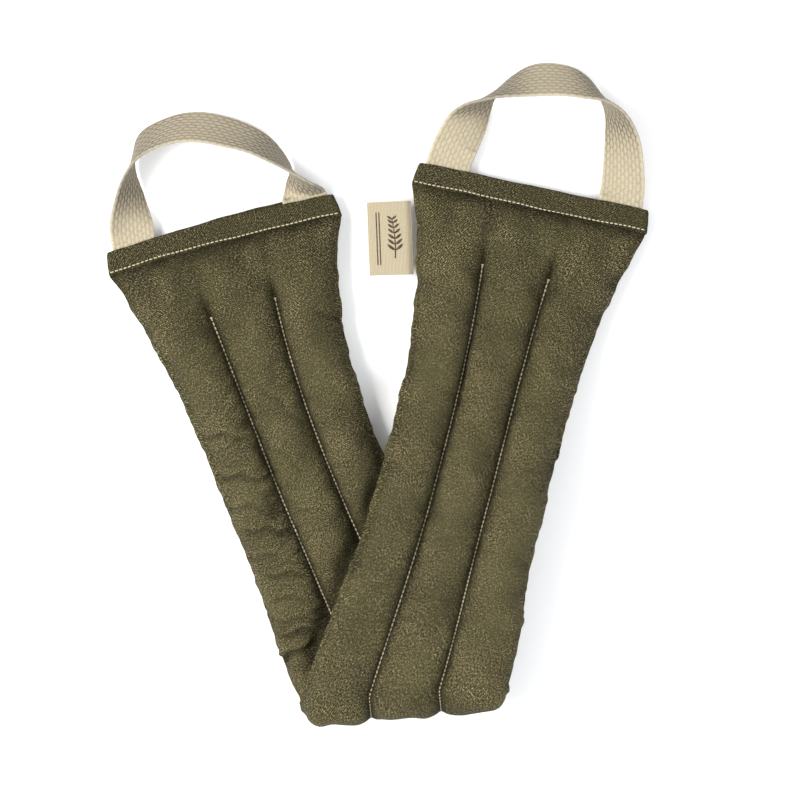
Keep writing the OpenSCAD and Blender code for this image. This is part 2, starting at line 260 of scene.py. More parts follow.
def column_positions():
    """u of each column, closer together beside the seams."""
    steps = np.linspace(0.0, math.pi, COLUMNS + 1)
    lobe = -np.cos(steps) / 3.0
    parts = [lobe[:-1] + 2.0 / 3.0 * j for j in (-1, 0, 1)]
    return np.append(np.concatenate(parts), 1.0)


def arm_row(arm, t, u):
    """The outer face and the inner face of the folded strip at t."""
    half = arm.half_width(t)
    mid = arm.mid_z(t)
    thick = arm.thickness(t)
    joined = arm.joined(t)
    press = smooth(0.0, 45.0, t)
    top = height(u, thick, joined, 0.0)
    bottom = height(u, thick, joined, press)
    upper = arm.place(t, u * half, mid + top)
    lower = arm.place(t, u * half, mid - bottom)
    return (upper, lower) if arm.on_top else (lower, upper)


def nose_row(turn, u):
    """The outer and inner faces where the strip turns round the fold; turn is 0 to 1."""
    axis = joint_axis("centre_fold")
    back = np.array([-axis[1], axis[0], 0.0])
    angle = math.pi * turn
    radial = -math.sin(angle) * back - math.cos(angle) * UP
    across = mix(FOLD_HALF / LEFT.fold_cos, FOLD_HALF / RIGHT.fold_cos, turn)
    middle = LEFT.fold[2] - LEFT.full(0.0) / 2.0
    out = mix(FOLD_THICK / 2.0, NOSE_OUT - middle, math.sin(angle) ** 2)
    joined = 0.3 * math.sin(angle) ** 2
    inner = middle - np.minimum(height(u, FOLD_THICK, joined, 0.0), middle - 0.5)
    outer = middle + height(u, 2.0 * out, joined, 0.0)
    base = LEFT.fold + (u * across)[:, None] * axis
    corner = np.clip((np.abs(u) - NOSE_CORNER) / (1.0 - NOSE_CORNER), 0.0, 1.0)
    radial = np.stack([radial] * len(u))
    radial[:, :2] *= (1.0 - 0.5 * corner ** 2)[:, None]
    return base + outer[:, None] * radial, base + inner[:, None] * radial


def strip_rows():
    """Every row of the strip: (s, weight of the fold, outer face, inner face)."""
    u = column_positions()
    rows = []
    count = int(round(LEFT.shoulder / ROW_STEP))
    for i in range(count, 0, -1):
        t = LEFT.shoulder * i / count
        rows.append((-t, 0.0) + arm_row(LEFT, t, u))
    count = int(round(NOSE_LEN / ROW_STEP))
    for i in range(count + 1):
        turn = i / count
        rows.append((NOSE_LEN * turn, turn) + nose_row(turn, u))
    count = int(round(RIGHT.shoulder / ROW_STEP))
    for i in range(1, count + 1):
        t = RIGHT.shoulder * i / count
        rows.append((NOSE_LEN + t, 1.0) + arm_row(RIGHT, t, u))
    return u, rows


# ---------------------------------------------------------------- mesh helpers
def new_object(name, points, faces):
    mesh = bpy.data.meshes.new(name)
    mesh.from_pydata([tuple(p) for p in np.asarray(points) * MM], [], faces)
    mesh.update()
    obj = bpy.data.objects.new(name, mesh)
    bpy.context.scene.collection.objects.link(obj)
    return obj


def ring_faces(rows, ring, base=0):
    """Quads that join rings of points, each ring to the next, from point base on."""
    faces = []
    for r in range(base, base + (rows - 1) * ring, ring):
        for c in range(ring):
            d = (c + 1) % ring
            faces.append((r + c, r + d, r + ring + d, r + ring + c))
    return faces


def face_outwards(obj):
    bm = bmesh.new()
    bm.from_mesh(obj.data)
    bmesh.ops.recalc_face_normals(bm, faces=bm.faces)
    bm.to_mesh(obj.data)
    bm.free()


def smooth_shade(obj):
    for polygon in obj.data.polygons:
        polygon.use_smooth = True


def point_value(obj, name, values):
    """Stores one number at each point of the mesh."""
    layer = obj.data.attributes.get(name) or obj.data.attributes.new(name, "FLOAT", "POINT")
    layer.data.foreach_set("value", np.asarray(values, np.float32))


def read_values(mesh, name):
    values = np.zeros(len(mesh.vertices), np.float32)
    mesh.attributes[name].data.foreach_get("value", values)
    return values.astype(float)


def coordinates(mesh):
    co = np.zeros(len(mesh.vertices) * 3, np.float32)
    mesh.vertices.foreach_get("co", co)
    return co.reshape(-1, 3).astype(float)


def set_coordinates(mesh, co):
    mesh.vertices.foreach_set("co", np.asarray(co, np.float32).ravel())
    mesh.update()


def apply_modifiers(obj):
    evaluated = obj.evaluated_get(bpy.context.evaluated_depsgraph_get())
    mesh = bpy.data.meshes.new_from_object(evaluated)
    obj.modifiers.clear()
    obj.data = mesh
    return obj


def subdivide(obj):
    modifier = obj.modifiers.new("Round", "SUBSURF")
    modifier.levels = 1
    modifier.render_levels = 1
    return apply_modifiers(obj)


# ---------------------------------------------------------------- the cover
def build_strip():
    """The whole cover as one closed tube, with s, u, side and fold stored on its points."""
    u, rows = strip_rows()
    n = len(u)
    ring = 2 * n - 2
    points, s_values, u_values, sides, folds = [], [], [], [], []
    for s, fold, outer, inner in rows:
        points.extend(outer)
        points.extend(inner[-2:0:-1])
        s_values.extend([s] * ring)
        u_values.extend(list(u) + list(u[-2:0:-1]))
        sides.extend([1.0] * n + [-1.0] * (n - 2))
        folds.extend([fold] * ring)
    faces = ring_faces(len(rows), ring)
    for r, turned in ((0, True), (len(rows) - 1, False)):
        for c in range(n - 1):
            below = [(ring - c) % ring, ring - c - 1]
            quad = [r * ring + c, r * ring + c + 1, r * ring + below[1], r * ring + below[0]]
            quad = list(dict.fromkeys(quad))
            faces.append(tuple(quad) if turned else tuple(reversed(quad)))
    obj = new_object("strip", points, faces)
    point_value(obj, "s", s_values)
    point_value(obj, "u", u_values)
    point_value(obj, "side", sides)
    point_value(obj, "fold", folds)
    face_outwards(obj)
    return obj


def strip_t(s):
    """Distance from the fold along the arm, negative round the fold."""
    return np.where(s < 0.0, -s, s - NOSE_LEN)


def seam_hold(obj):
    """How firmly the sewing holds each point: 1 on a seam or in a hem, 0 in a channel."""
    u = np.abs(read_values(obj.data, "u"))
    s = read_values(obj.data, "s")
    t = strip_t(s)
    length = np.where(s < 0.0, LEFT.length, RIGHT.length)
    stop = length - HEM_DEPTH - OPEN_LEN
    channel = (np.abs(u - 1.0 / 3.0) < 0.004) & (t < stop)
    side = u > 0.998
    hem = t > length - HEM_DEPTH - 3.0
    return np.maximum.reduce([channel * 1.0, side * 0.85, hem * 1.0])


def puff_up(obj):
    """Cloth simulation: the sewn tube swells a little and its spare cloth wrinkles."""
    rest = coordinates(obj.data)
    hold = seam_hold(obj)
    group = obj.vertex_groups.new(name="sewn")
    for index in np.nonzero(hold > 0.0)[0]:
        group.add([int(index)], float(hold[index]), "REPLACE")
    cloth = obj.modifiers.new("Cloth", "CLOTH")
    settings = cloth.settings
    settings.quality = 6
    settings.mass = 0.25
    settings.air_damping = 4.0
    settings.tension_stiffness = 25.0
    settings.compression_stiffness = 25.0
    settings.shear_stiffness = 8.0
    settings.bending_stiffness = 0.4
    settings.vertex_group_mass = "sewn"
    settings.pin_stiffness = 1.0
    settings.shrink_min = -0.045
    settings.use_pressure = True
    settings.uniform_pressure_force = 3.0
    settings.effector_weights.gravity = 0.0
    cloth.collision_settings.use_collision = False
    cloth.point_cache.frame_start = 1
    cloth.point_cache.frame_end = SIM_FRAMES
    for step in range(1, SIM_FRAMES + 1):
        bpy.context.scene.frame_set(step)
    evaluated = obj.evaluated_get(bpy.context.evaluated_depsgraph_get())
    swollen = coordinates(evaluated.to_mesh())
    evaluated.to_mesh_clear()
    obj.modifiers.clear()
    bpy.context.scene.frame_set(1)
    move = swollen - rest
    size = np.linalg.norm(move, axis=1, keepdims=True)
    cap = SIM_CAP * MM
    move *= cap * np.tanh(size / cap) / np.maximum(size, 1e-9)
    s = read_values(obj.data, "s")
    to_hem = np.where(s < 0.0, LEFT.shoulder + s, RIGHT.shoulder + NOSE_LEN - s)
    move *= smooth(2.0, 24.0, to_hem)[:, None]
    to_seam = np.abs(np.abs(read_values(obj.data, "u")) - 1.0 / 3.0) * FLAT_WIDTH / 2.0
    move *= smooth(0.5, 5.0, to_seam)[:, None]
    set_coordinates(obj.data, rest + move)


# ---------------------------------------------------------------- the cover's details
NEST_DEPTH = 3.2        # the upper arm's edge sinks this far into the arm below it
NEST_WIDTH = 6.5
PUSH_DEEPEST = 4.2      # and nothing sinks the cover as far as the fill
LEFT_CREASE_GAIN = 1.6  # the left arm's creases are this much deeper than listed
# Creases in the left arm's upper side: (t, v) of both ends, half-width, depth
CREASES = [
    (26.0, -58.0, 37.0, -31.0, 1.7, 1.6),
    (-10.0, -60.0, 0.0, -45.0, 1.5, 1.0),
    (46.0, -48.0, 46.0, -24.0, 1.6, 1.2),
    (58.0, -46.0, 52.0, -22.0, 1.3, 0.7),
    (76.0, -46.0, 66.0, -22.0, 1.4, 0.9),
    (91.0, -40.0, 82.0, -18.0, 1.5, 1.0),
    (106.0, -47.0, 99.0, -29.0, 1.3, 0.7),
    (120.0, -42.0, 110.0, -18.0, 1.5, 1.1),
    (134.0, -47.0, 127.0, -27.0, 1.4, 0.8),
    (152.0, -46.0, 141.0, -18.0, 1.6, 1.2),
    (177.0, -47.0, 166.0, -20.0, 1.7, 1.0),
    (196.0, -20.0, 186.0, -36.0, 1.5, 0.5),
    (192.0, -4.0, 162.0, 12.0, 1.5, 0.6),
    (160.0, -12.0, 140.0, 2.0, 1.5, 0.6),
    (120.0, -10.0, 108.0, 8.0, 1.5, 0.5),
    (224.0, 40.0, 206.0, 58.0, 1.6, 0.6),
]
# The same on the right arm's upper side
RIGHT_CREASES = [
    (60.0, -34.0, 72.0, -20.0, 1.7, 0.6),
    (128.0, 24.0, 142.0, 36.0, 1.7, 0.6),
    (180.0, -38.0, 196.0, -24.0, 1.7, 0.5),
    (236.0, 30.0, 262.0, 36.0, 1.3, 0.8),
]


def point_normals(mesh):
    normals = np.zeros(len(mesh.vertices) * 3, np.float32)
    mesh.vertices.foreach_get("normal", normals)
    return normals.reshape(-1, 3).astype(float)


def crease_depth(t, v, creases):
    """Depth of the creases at each point, with the cloth heaped up along one side."""
    depth = np.zeros(len(t))
    for t0, v0, t1, v1, width, deep in creases:
        a = np.array([t0, v0])
        d = np.array([t1 - t0, v1 - v0])
        length = np.linalg.norm(d)
        d = d / length
        along = (t - a[0]) * d[0] + (v - a[1]) * d[1]
        off = (t - a[0]) * d[1] - (v - a[1]) * d[0]
        off = off + 1.3 * np.sin(along * 0.35)
        ends = smooth(-3.0, 4.0, along) * (1.0 - smooth(length - 4.0, length + 3.0, along))
        groove = np.exp(-(off / width) ** 2) - 0.75 * np.exp(-((off - 2.1 * width) / width) ** 2)
        depth += deep * ends * groove
    return depth


def detail_cover(obj):
    """Puckers beside the seams, creases, and the dimples that the fill makes."""
    mesh = obj.data
    co = coordinates(mesh)
    normals = point_normals(mesh)
    u = read_values(mesh, "u")
    s = read_values(mesh, "s")
    side = read_values(mesh, "side")
    t = strip_t(s)
    arm_half = np.where(s < 0.0, LEFT.half_width(t), RIGHT.half_width(t))
    joined = np.where(s < 0.0, LEFT.joined(t), RIGHT.joined(t))
    v = u * arm_half
    channel_gap = np.abs(np.abs(u) - 1.0 / 3.0) * arm_half
    side_gap = (1.0 - np.abs(u)) * arm_half
    mm = co / MM
    fine = ripple(np.stack([s, v * 0.35, side * 9.0], 1), 6.5, 3)
    broad = ripple(np.stack([s * 0.8, v * 0.8, side * 30.0], 1), 19.0, 4)
    dents = ripple(mm, 8.0, 5)
    edge = np.exp(-(side_gap / 6.0) ** 2) * smooth(0.0, 1.5, side_gap)
    scallop = ripple(np.stack([s, np.sign(u) * 40.0, 0.0 * s], 1), 14.0, 9)
    away = smooth(0.0, 30.0, np.abs(s - NOSE_LEN / 2.0) - NOSE_LEN / 2.0)
    bunched = (s < 0.0) * (u < -1.0 / 3.0) * (1.0 - smooth(160.0, 200.0, t))
    folds = ripple(np.stack([s - 0.35 * channel_gap, channel_gap * 0.22, side * 9.0 + u], 1), 11.0, 10)
    gathers = 0.35 - np.clip(1.0 - np.abs(folds), 0.0, 1.0) ** 5
    reach = np.exp(-(channel_gap / 11.0) ** 1.5) * (1.0 - joined) * smooth(0.4, 2.2, channel_gap)
    push = (0.75 + 1.25 * bunched) * gathers * reach
    push += 0.4 * fine * edge * mix(0.4, 1.0, away)
    push += 1.0 * scallop * smooth(0.72, 1.0, np.abs(u)) * away
    push += 0.6 * broad * smooth(1.0, 6.0, np.minimum(channel_gap, side_gap)) * (1.0 + 0.6 * bunched)
    push += 0.24 * dents * smooth(1.0, 5.0, np.minimum(channel_gap, side_gap))
    near_hem = np.where(s < 0.0, LEFT.shoulder - t, RIGHT.shoulder - t)
    pleats = ripple(np.stack([v, s * 0.16, side * 9.0], 1), 9.0, 6)
    push += 1.0 * pleats * np.exp(-((near_hem - 14.0) / 11.0) ** 2) * smooth(0.0, 6.0, side_gap)
    left_top = (s < 0.0) & (side < 0.0)
    right_top = (s > NOSE_LEN) & (side > 0.0)
    held = mix(smooth(1.0, 5.0, channel_gap), 1.0, joined)
    push -= LEFT_CREASE_GAIN * held * np.where(left_top, crease_depth(t, v, CREASES), 0.0)
    push -= np.where(right_top, crease_depth(t, v, RIGHT_CREASES), 0.0)
    t_over, v_over = RIGHT.local(mm[:, :2])
    outside = -v_over - RIGHT.half_width(np.clip(t_over, 0.0, RIGHT.shoulder))
    crest = rise(np.clip(u, -1.0, 1.0), joined, 0.0)
    nest = NEST_DEPTH * np.exp(-((outside + 1.0) / NEST_WIDTH) ** 2) * smooth(8.0, 34.0, t)
    nest = np.where(left_top, nest * crest, 0.0)
    push = np.maximum(push - nest, -PUSH_DEEPEST)
    seam_line = 0.55 * np.exp(-((side_gap - 2.2) / 0.9) ** 2) * (np.abs(u) > 0.8)
    push -= seam_line
    moved = co + normals * push[:, None] * MM
    moved[:, 2] = np.maximum(moved[:, 2], np.minimum(co[:, 2], 0.3 * MM))
    set_coordinates(mesh, moved)
    # crest drives the cloth's painted shade in the seam valleys; the strip's outer sides get little of it
    point_value(obj, "crest", np.where(np.abs(u) > 2.0 / 3.0, np.maximum(crest, 0.85), crest))
    # painted shade: darker beside each hem, most in a narrow band just below it, and darker in the creases
    # and dents where push sinks the cloth
    painted_hem_shade = np.where(s < 0.0, 0.19, 0.10) * np.exp(-(near_hem / 42.0) ** 2)
    painted_hem_shade = painted_hem_shade + (0.42 + 0.22 * pleats) * np.exp(-(near_hem / 5.5) ** 2)
    point_value(obj, "shade", np.clip(1.0 + 0.30 * push, 0.55, 1.15) * (1.0 - painted_hem_shade))
    point_value(obj, "along", s * MM)
    point_value(obj, "across", u * FLAT_WIDTH / 2.0 * MM)


# ---------------------------------------------------------------- pieces that bend
def arm_blend(obj, arm, side):
    """The piece follows the arm's inner body, then its outer one past the bend."""
    z = arm.mid_z(arm.bend_t)
    start = arm.place(arm.bend_t - BEND_SPREAD, 0.0, z) * MM
    end = arm.place(arm.bend_t + BEND_SPREAD, 0.0, z) * MM
    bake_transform(obj, side + "_inner", side + "_outer", start=tuple(start), end=tuple(end))


def fold_blend(obj):
    """The piece follows the left arm, then turns to the right one round the fold."""
    weight = np.clip(read_values(obj.data, "fold"), 0.0, 1.0)
    start = tuple(LEFT.fold * MM)
    end = tuple((LEFT.fold + 10.0 * UP) * MM)
    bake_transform(obj, "left_inner", "right_inner", start=start, end=end)
    point_value(obj, "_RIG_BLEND", weight)


def face_range(obj, low, high, name):
    """A copy of the faces whose middle has s between low and high, with its ends closed."""
    copy = obj.copy()
    copy.data = obj.data.copy()
    copy.name = name
    copy.data.name = name
    bpy.context.scene.collection.objects.link(copy)
    bm = bmesh.new()
    bm.from_mesh(copy.data)
    layer = bm.verts.layers.float["s"]
    drop = []
    for face in bm.faces:
        middle = sum(vert[layer] for vert in face.verts) / len(face.verts)
        if not low <= middle < high:
            drop.append(face)
    bmesh.ops.delete(bm, geom=drop, context="FACES")
    bmesh.ops.holes_fill(bm, edges=[e for e in bm.edges if e.is_boundary], sides=0)
    bm.to_mesh(copy.data)
    bm.free()
    return copy


def split_strip(obj, kind, keep_normals, material):
    """Three pieces of the strip, each bending across one joint."""
    cuts = (("left_arm_" + kind, -1e6, -CUT_AT), ("centre_" + kind, -CUT_AT, NOSE_LEN + CUT_AT),
            ("right_arm_" + kind, NOSE_LEN + CUT_AT, 1e6))
    if keep_normals:
        normals = point_normals(obj.data)
        for axis, letter in enumerate("xyz"):
            point_value(obj, "n" + letter, normals[:, axis])
    pieces = []
    for name, low, high in cuts:
        piece = face_range(obj, low, high, name)
        if keep_normals:
            stored = [read_values(piece.data, "n" + letter) for letter in "xyz"]
            for letter in "xyz":
                piece.data.attributes.remove(piece.data.attributes["n" + letter])
            smooth_shade(piece)
            piece.data.normals_split_custom_set_from_vertices(np.stack(stored, 1).tolist())
        else:
            smooth_shade(piece)
        piece.data.materials.clear()
        piece.data.materials.append(material)
        pieces.append(piece)
    arm_blend(pieces[0], LEFT, "left")
    fold_blend(pieces[1])
    arm_blend(pieces[2], RIGHT, "right")
    bpy.data.objects.remove(obj)
    return pieces


# ---------------------------------------------------------------- fill
FILL_RING = 16          # points round one column of fill
FILL_STEP = 6.0
FILL_SHORT = 34.0       # a column stops this far short of the hem
FILL_SPREAD = 0.235     # half of its width, as a share of half the strip
FILL_LIFT = 0.18        # half of its height, as a share of the arm's thickness
FILL_LIFT_NOSE = 0.62   # and round the fold, as a share of half the space there


def build_fill():
    """Three columns of fill inside the cover, from one hem round the fold to the other."""
    ring = FILL_RING
    points, faces, s_values, folds = [], [], [], []
    angles = np.linspace(0.0, 2.0 * math.pi, ring, endpoint=False)
    rows = []
    for t in np.arange(LEFT.shoulder - FILL_SHORT, 0.0, -FILL_STEP):
        rows.append((-t, 0.0, LEFT, t))
    for turn in np.linspace(0.0, 1.0, 9):
        rows.append((NOSE_LEN * turn, turn, None, turn))
    for t in np.arange(FILL_STEP, RIGHT.shoulder - FILL_SHORT, FILL_STEP):
        rows.append((NOSE_LEN + t, 1.0, RIGHT, t))
    for channel in (-1, 0, 1):
        base = len(points)
        for s, fold, arm, k in rows:
            u = channel * 2.0 / 3.0 + FILL_SPREAD * np.cos(angles)
            lift = np.sin(angles)
            if arm is None:
                outer, inner = nose_row(k, u)
                middle = (outer + inner) / 2.0
                half_gap = (outer - inner) / 2.0
                points.extend(middle + half_gap * FILL_LIFT_NOSE * lift[:, None])
            else:
                z = arm.mid_z(k) + FILL_LIFT * arm.thickness(k) * lift
                points.extend(arm.place(k, u * arm.half_width(k), z))
            s_values.extend([s] * ring)
            folds.extend([fold] * ring)
        faces += ring_faces(len(rows), ring, base)
        last = base + (len(rows) - 1) * ring
        faces.append(tuple(range(base + ring - 1, base - 1, -1)))
        faces.append(tuple(range(last, last + ring)))
    obj = new_object("fill", points, faces)
    point_value(obj, "s", s_values)
    point_value(obj, "fold", folds)
    return obj


# ---------------------------------------------------------------- stitches
STITCH_LEN = 1.95
STITCH_PITCH = 2.6
STITCH_R = 0.38
THREAD_SIDES = 6
STITCH_LIFT = 0.22      # the thread's middle over the cloth
STITCH_SUNK = -0.18     # and round the fold, where the seam closes over it


class StitchRun:
    """Collects stitches into one mesh; each is a short thread with sunken ends."""

    def __init__(self):
        self.points = []
        self.faces = []
        self.s = []
        self.fold = []

    def add(self, start, end, up, s=0.0, fold=0.0):
        direction = end - start
        direction = direction / np.linalg.norm(direction)
        side = np.cross(direction, up)
        side = side / np.linalg.norm(side)
        base = len(self.points)
        stations = ((0.0, -0.45, 0.45), (0.16, 0.1, 0.9), (0.5, 0.3, 1.0), (0.84, 0.1, 0.9),
                    (1.0, -0.45, 0.45))
        for k, sink, size in stations:
            middle = mix(start, end, k) + up * sink * STITCH_R
            for step in range(THREAD_SIDES):
                a = step * 2.0 * math.pi / THREAD_SIDES
                offset = side * math.cos(a) * size + up * math.sin(a) * 0.8 * size
                self.points.append(middle + offset * STITCH_R)
        self.faces += ring_faces(len(stations), THREAD_SIDES, base)
        last = len(self.points) - THREAD_SIDES
        self.faces.append(tuple(range(base + THREAD_SIDES - 1, base - 1, -1)))
        self.faces.append(tuple(range(last, last + THREAD_SIDES)))
        self.s.extend([s] * (len(self.points) - base))
        self.fold.extend([fold] * (len(self.points) - base))

    def make(self, name):
        obj = new_object(name, self.points, self.faces)
        point_value(obj, "s", self.s)
        point_value(obj, "fold", self.fold)
        face_outwards(obj)
        smooth_shade(obj)
        return obj


class SeamTrack:
    """A channel seam on one face of the finished cover: places and directions along it."""

    def __init__(self, mesh, line, outer):
        u = read_values(mesh, "u")
        side = read_values(mesh, "side")
        on_line = (np.abs(u - line / 3.0) < 0.002) & (side * (1.0 if outer else -1.0) > 0.5)
        s = read_values(mesh, "s")[on_line]
        order = np.argsort(s)
        self.s = s[order]
        self.co = coordinates(mesh)[on_line][order] / MM
        normal = point_normals(mesh)[on_line][order]
        kernel = np.ones(9) / 9.0
        self.normal = np.stack([np.convolve(normal[:, i], kernel, "same") for i in range(3)], 1)
        self.fold = read_values(mesh, "fold")[on_line][order]

    def at(self, s):
        """A place on the cloth, sunk round the fold, the direction out, and the fold weight."""
        point = np.array([np.interp(s, self.s, self.co[:, i]) for i in range(3)])
        up = np.array([np.interp(s, self.s, self.normal[:, i]) for i in range(3)])
        up = up / np.linalg.norm(up)
        lift = STITCH_SUNK if -4.0 < s < NOSE_LEN + 6.0 else STITCH_LIFT
        return point + up * lift, up, float(np.interp(s, self.s, self.fold))


def channel_stitches(cover):
    """Both channel seams on both faces, with a short cross stitch at each end.

    The inner face has none round the fold, where the cloth is squeezed shut."""
    run = StitchRun()
    first = -(LEFT.length - HEM_DEPTH - OPEN_LEN)
    last = NOSE_LEN + RIGHT.length - HEM_DEPTH - OPEN_LEN
    for line in (-1, 1):
        for outer in (True, False):
            track = SeamTrack(cover.data, line, outer)
            for s in np.arange(first, last, STITCH_PITCH):
                if not outer and -3.0 < s < NOSE_LEN + 3.0:
                    continue
                start, up, weight = track.at(s)
                run.add(start, track.at(s + STITCH_LEN)[0], up, s, weight)
            for s, away in ((first, -1.0), (last, 1.0)):
                start, up, weight = track.at(s)
                knot = np.cross(track.at(s + away * 1.2)[0] - start, up)
                run.add(start - knot * 0.8, start + knot * 0.8, up, s, weight)
    return run.make("channel_stitches")


# ---------------------------------------------------------------- hems
class End:
    """Local places at a hem: a across, b outwards from the hem's outer edge."""

    def __init__(self, arm):
        self.arm = arm
        f = arm.heading + arm.turn * arm.length
        self.across = np.array([math.cos(f), -math.sin(f), 0.0])
        self.out = np.array([math.sin(f), math.cos(f), 0.0])
        x, y = arm.centre(arm.length)
        self.origin = np.array([x, y, arm.hem_z])
        self.bow = arm.hem_bow

    def place(self, a, b, z):
        a, b, z = np.broadcast_arrays(np.asarray(a, float), b, z)
        flat = self.origin + a[..., None] * self.across + b[..., None] * self.out
        return flat + z[..., None] * UP


# Half of the hem's cross-section, from the groove in its outer edge round to its inner
# edge: distance in from the outer edge, height over the middle
HEM_PROFILE = [
    (2.6, 1.02), (0.7, 1.06), (0.12, 1.25), (0.0, 1.6), (0.2, 2.05), (0.9, 2.35), (2.4, 2.42),
    (5.0, 2.30), (8.0, 2.36), (10.4, 2.40), (11.3, 2.22), (11.8, 2.02), (12.3, 2.22),
    (13.0, 2.36), (13.7, 2.1), (14.05, 1.6), (13.9, 0.9), (13.4, 0.5),
]
HEM_STITCH_IN = 11.8
HEM_WIDER = 1.9         # the hem is this much wider at its inner edge, on each side


def hem_wave(a, seed):
    """Small waves of the folded cloth along the hem: in and out, and up and down."""
    line = np.stack([a, 0.0 * a, 0.0 * a], 1)
    return 0.45 * ripple(line, 13.0, seed), 0.22 * ripple(line, 9.0, seed + 1)


def bowed(end, a, b):
    """b moved out by the bow of the hem at a."""
    return b + end.bow * (1.0 - (a / SHOULDER_HALF) ** 2)


def hem_half_at(depth):
    return HEM_HALF + HEM_WIDER * depth / HEM_DEPTH


def build_hem(end, seed):
    """The folded band at an arm's end, with a groove in its edge that the handle leaves by."""
    profile = HEM_PROFILE + [(d, -z) for d, z in reversed(HEM_PROFILE)]
    inner_gap = (HEM_PROFILE[-1][0], 0.0)
    profile.insert(len(HEM_PROFILE), inner_gap)
    profile.append((2.9, 0.0))
    depth = np.array([p[0] for p in profile])
    level = np.array([p[1] for p in profile])
    columns = np.linspace(-1.0, 1.0, 97)
    lip = (level < 0.0) * (depth < 3.0)
    wave, bob = hem_wave(columns * HEM_HALF, seed)
    points, across = [], []
    for k, c in enumerate(columns):
        round_end = math.sqrt(max(0.0, 1.0 - max(0.0, (abs(c) - 0.985) / 0.015) ** 2))
        a = c * hem_half_at(depth)
        pull = mix(0.35, 1.0, round_end)
        z = level * pull + bob[k] * (np.abs(level) > 1.3)
        past = end.bow * 0.75 * smooth(-34.0, 24.0, a) * (1.0 - smooth(50.0, 64.0, a)) * lip
        points.extend(end.place(a, bowed(end, a, wave[k] * (depth < 4.0) - depth) + past, z))
        across.extend(list(a * MM))
    n = len(profile)
    faces = ring_faces(len(columns), n)
    faces.append(tuple(range(n)))
    faces.append(tuple(range(len(points) - 1, len(points) - n - 1, -1)))
    obj = new_object(end.arm.side + "_hem_band", points, faces)
    face_outwards(obj)
    point_value(obj, "across", across)
    point_value(obj, "along", np.tile(-depth * MM, len(columns)))
    # painted shade: the hem is shaded as a crest, and its inner edge past the stitching is darker, where it
    # meets the bag
    point_value(obj, "crest", np.full(len(points), 0.8))
    point_value(obj, "shade", np.tile(1.0 - 0.3 * (depth > 12.2), len(columns)))
    obj = subdivide(obj)
    smooth_shade(obj)
    return obj


def stitch_in(a):
    """Distance of the topstitching in from the hem's outer edge; the line isn't quite even."""
    return HEM_STITCH_IN + 0.35 * np.sin(a / 17.0 + 0.6) + 0.15 * np.sin(a / 5.0)


def hem_stitches(end, seed):
    run = StitchRun()
    half = hem_half_at(HEM_STITCH_IN) - 1.5
    starts = np.arange(-half, half - STITCH_LEN, STITCH_PITCH)
    bob = hem_wave(starts, seed)[1]
    for side in (1.0, -1.0):
        for a, rise_here in zip(starts, bob):
            z = side * 2.22 + rise_here
            b = a + STITCH_LEN
            start = end.place(a, bowed(end, a, -stitch_in(a)), z)
            stop = end.place(b, bowed(end, b, -stitch_in(b)), z)
            run.add(start, stop, side * UP)
    return run.make(end.arm.side + "_hem_topstitch")


# ---------------------------------------------------------------- handles
LOOP_START = 2.8
ROOT = [[-LEG_V - WEB_W / 2.0, -11.5], [-LEG_V + WEB_W / 2.0, -11.5], 0.0]
FOOT = [[-LEG_V - WEB_W / 2.0, LOOP_START], [-LEG_V + WEB_W / 2.0, LOOP_START], 0.0]
# Crosswise lines of the webbing: its high edge and its low edge, each as (across, out),
# then the height of its middle over the hem
LEFT_LOOP = [
    [[-61.0, 14.0], [-37.0, 11.0], 3.0], [[-54.0, 27.0], [-38.0, 25.0], 5.0],
    [[-43.0, 40.0], [-39.0, 46.0], 7.0], [[-30.0, 48.0], [-29.0, 63.0], 6.0],
    [[-6.5, 48.5], [1.5, 66.0], 5.0], [[23.0, 35.5], [34.0, 48.0], 6.0],
    [[44.5, 18.5], [47.0, 24.0], 7.0], [[57.0, 8.0], [42.0, 12.0], 6.0],
]
RIGHT_LOOP = [
    [[-61.0, 16.0], [-36.0, 12.0], 2.0], [[-55.0, 31.0], [-33.5, 27.0], 3.0],
    [[-40.0, 40.0], [-31.5, 49.0], 7.0], [[-13.0, 48.5], [-15.5, 68.0], 5.0],
    [[14.0, 53.5], [10.5, 71.0], 5.0], [[34.5, 53.0], [28.5, 56.0], 7.0],
    [[51.0, 41.0], [34.0, 36.0], 5.0], [[60.0, 19.0], [37.0, 15.0], 2.0],
]
ROWS = 11.0             # rows of knots across the webbing
LINE_WAVE = 0.17        # how far the lines between rows wave, as a share of a row
KNOT_LEN = 4.6          # length of one wave of a ridge
RELIEF = 0.26           # height of the weave
WEB_STEP = 0.62         # size of the webbing's faces


def mirrored(line):
    high, low, z = line
    return [[-high[0], high[1]], [-low[0], low[1]], z]


def spline(a, b, c, d, k):
    """A smooth curve from b to c, with a before and d after."""
    return 0.5 * (2.0 * b + (c - a) * k + (2.0 * a - 5.0 * b + 4.0 * c - d) * k * k
                  + (3.0 * b - a - 3.0 * c + d) * k ** 3)


def loop_edges(rows, steps):
    """High and low edge of the webbing at even steps along its middle."""
    flat = np.array([[*r[0], *r[1], r[2]] for r in rows])
    last = len(flat) - 1
    lines = []
    for i in range(last):
        for k in np.arange(steps) / steps:
            lines.append(spline(flat[max(0, i - 1)], flat[i], flat[i + 1],
                                flat[min(last, i + 2)], k))
    lines.append(flat[last])
    lines = np.array(lines)
    gap = np.hypot(lines[:, 0] - lines[:, 2], lines[:, 1] - lines[:, 3])
    tall = np.sqrt(np.maximum(0.0, WEB_W ** 2 - gap ** 2))
    high = np.stack([lines[:, 0], lines[:, 1], lines[:, 4] + tall / 2.0], 1)
    low = np.stack([lines[:, 2], lines[:, 3], lines[:, 4] - tall / 2.0], 1)
    return high, low


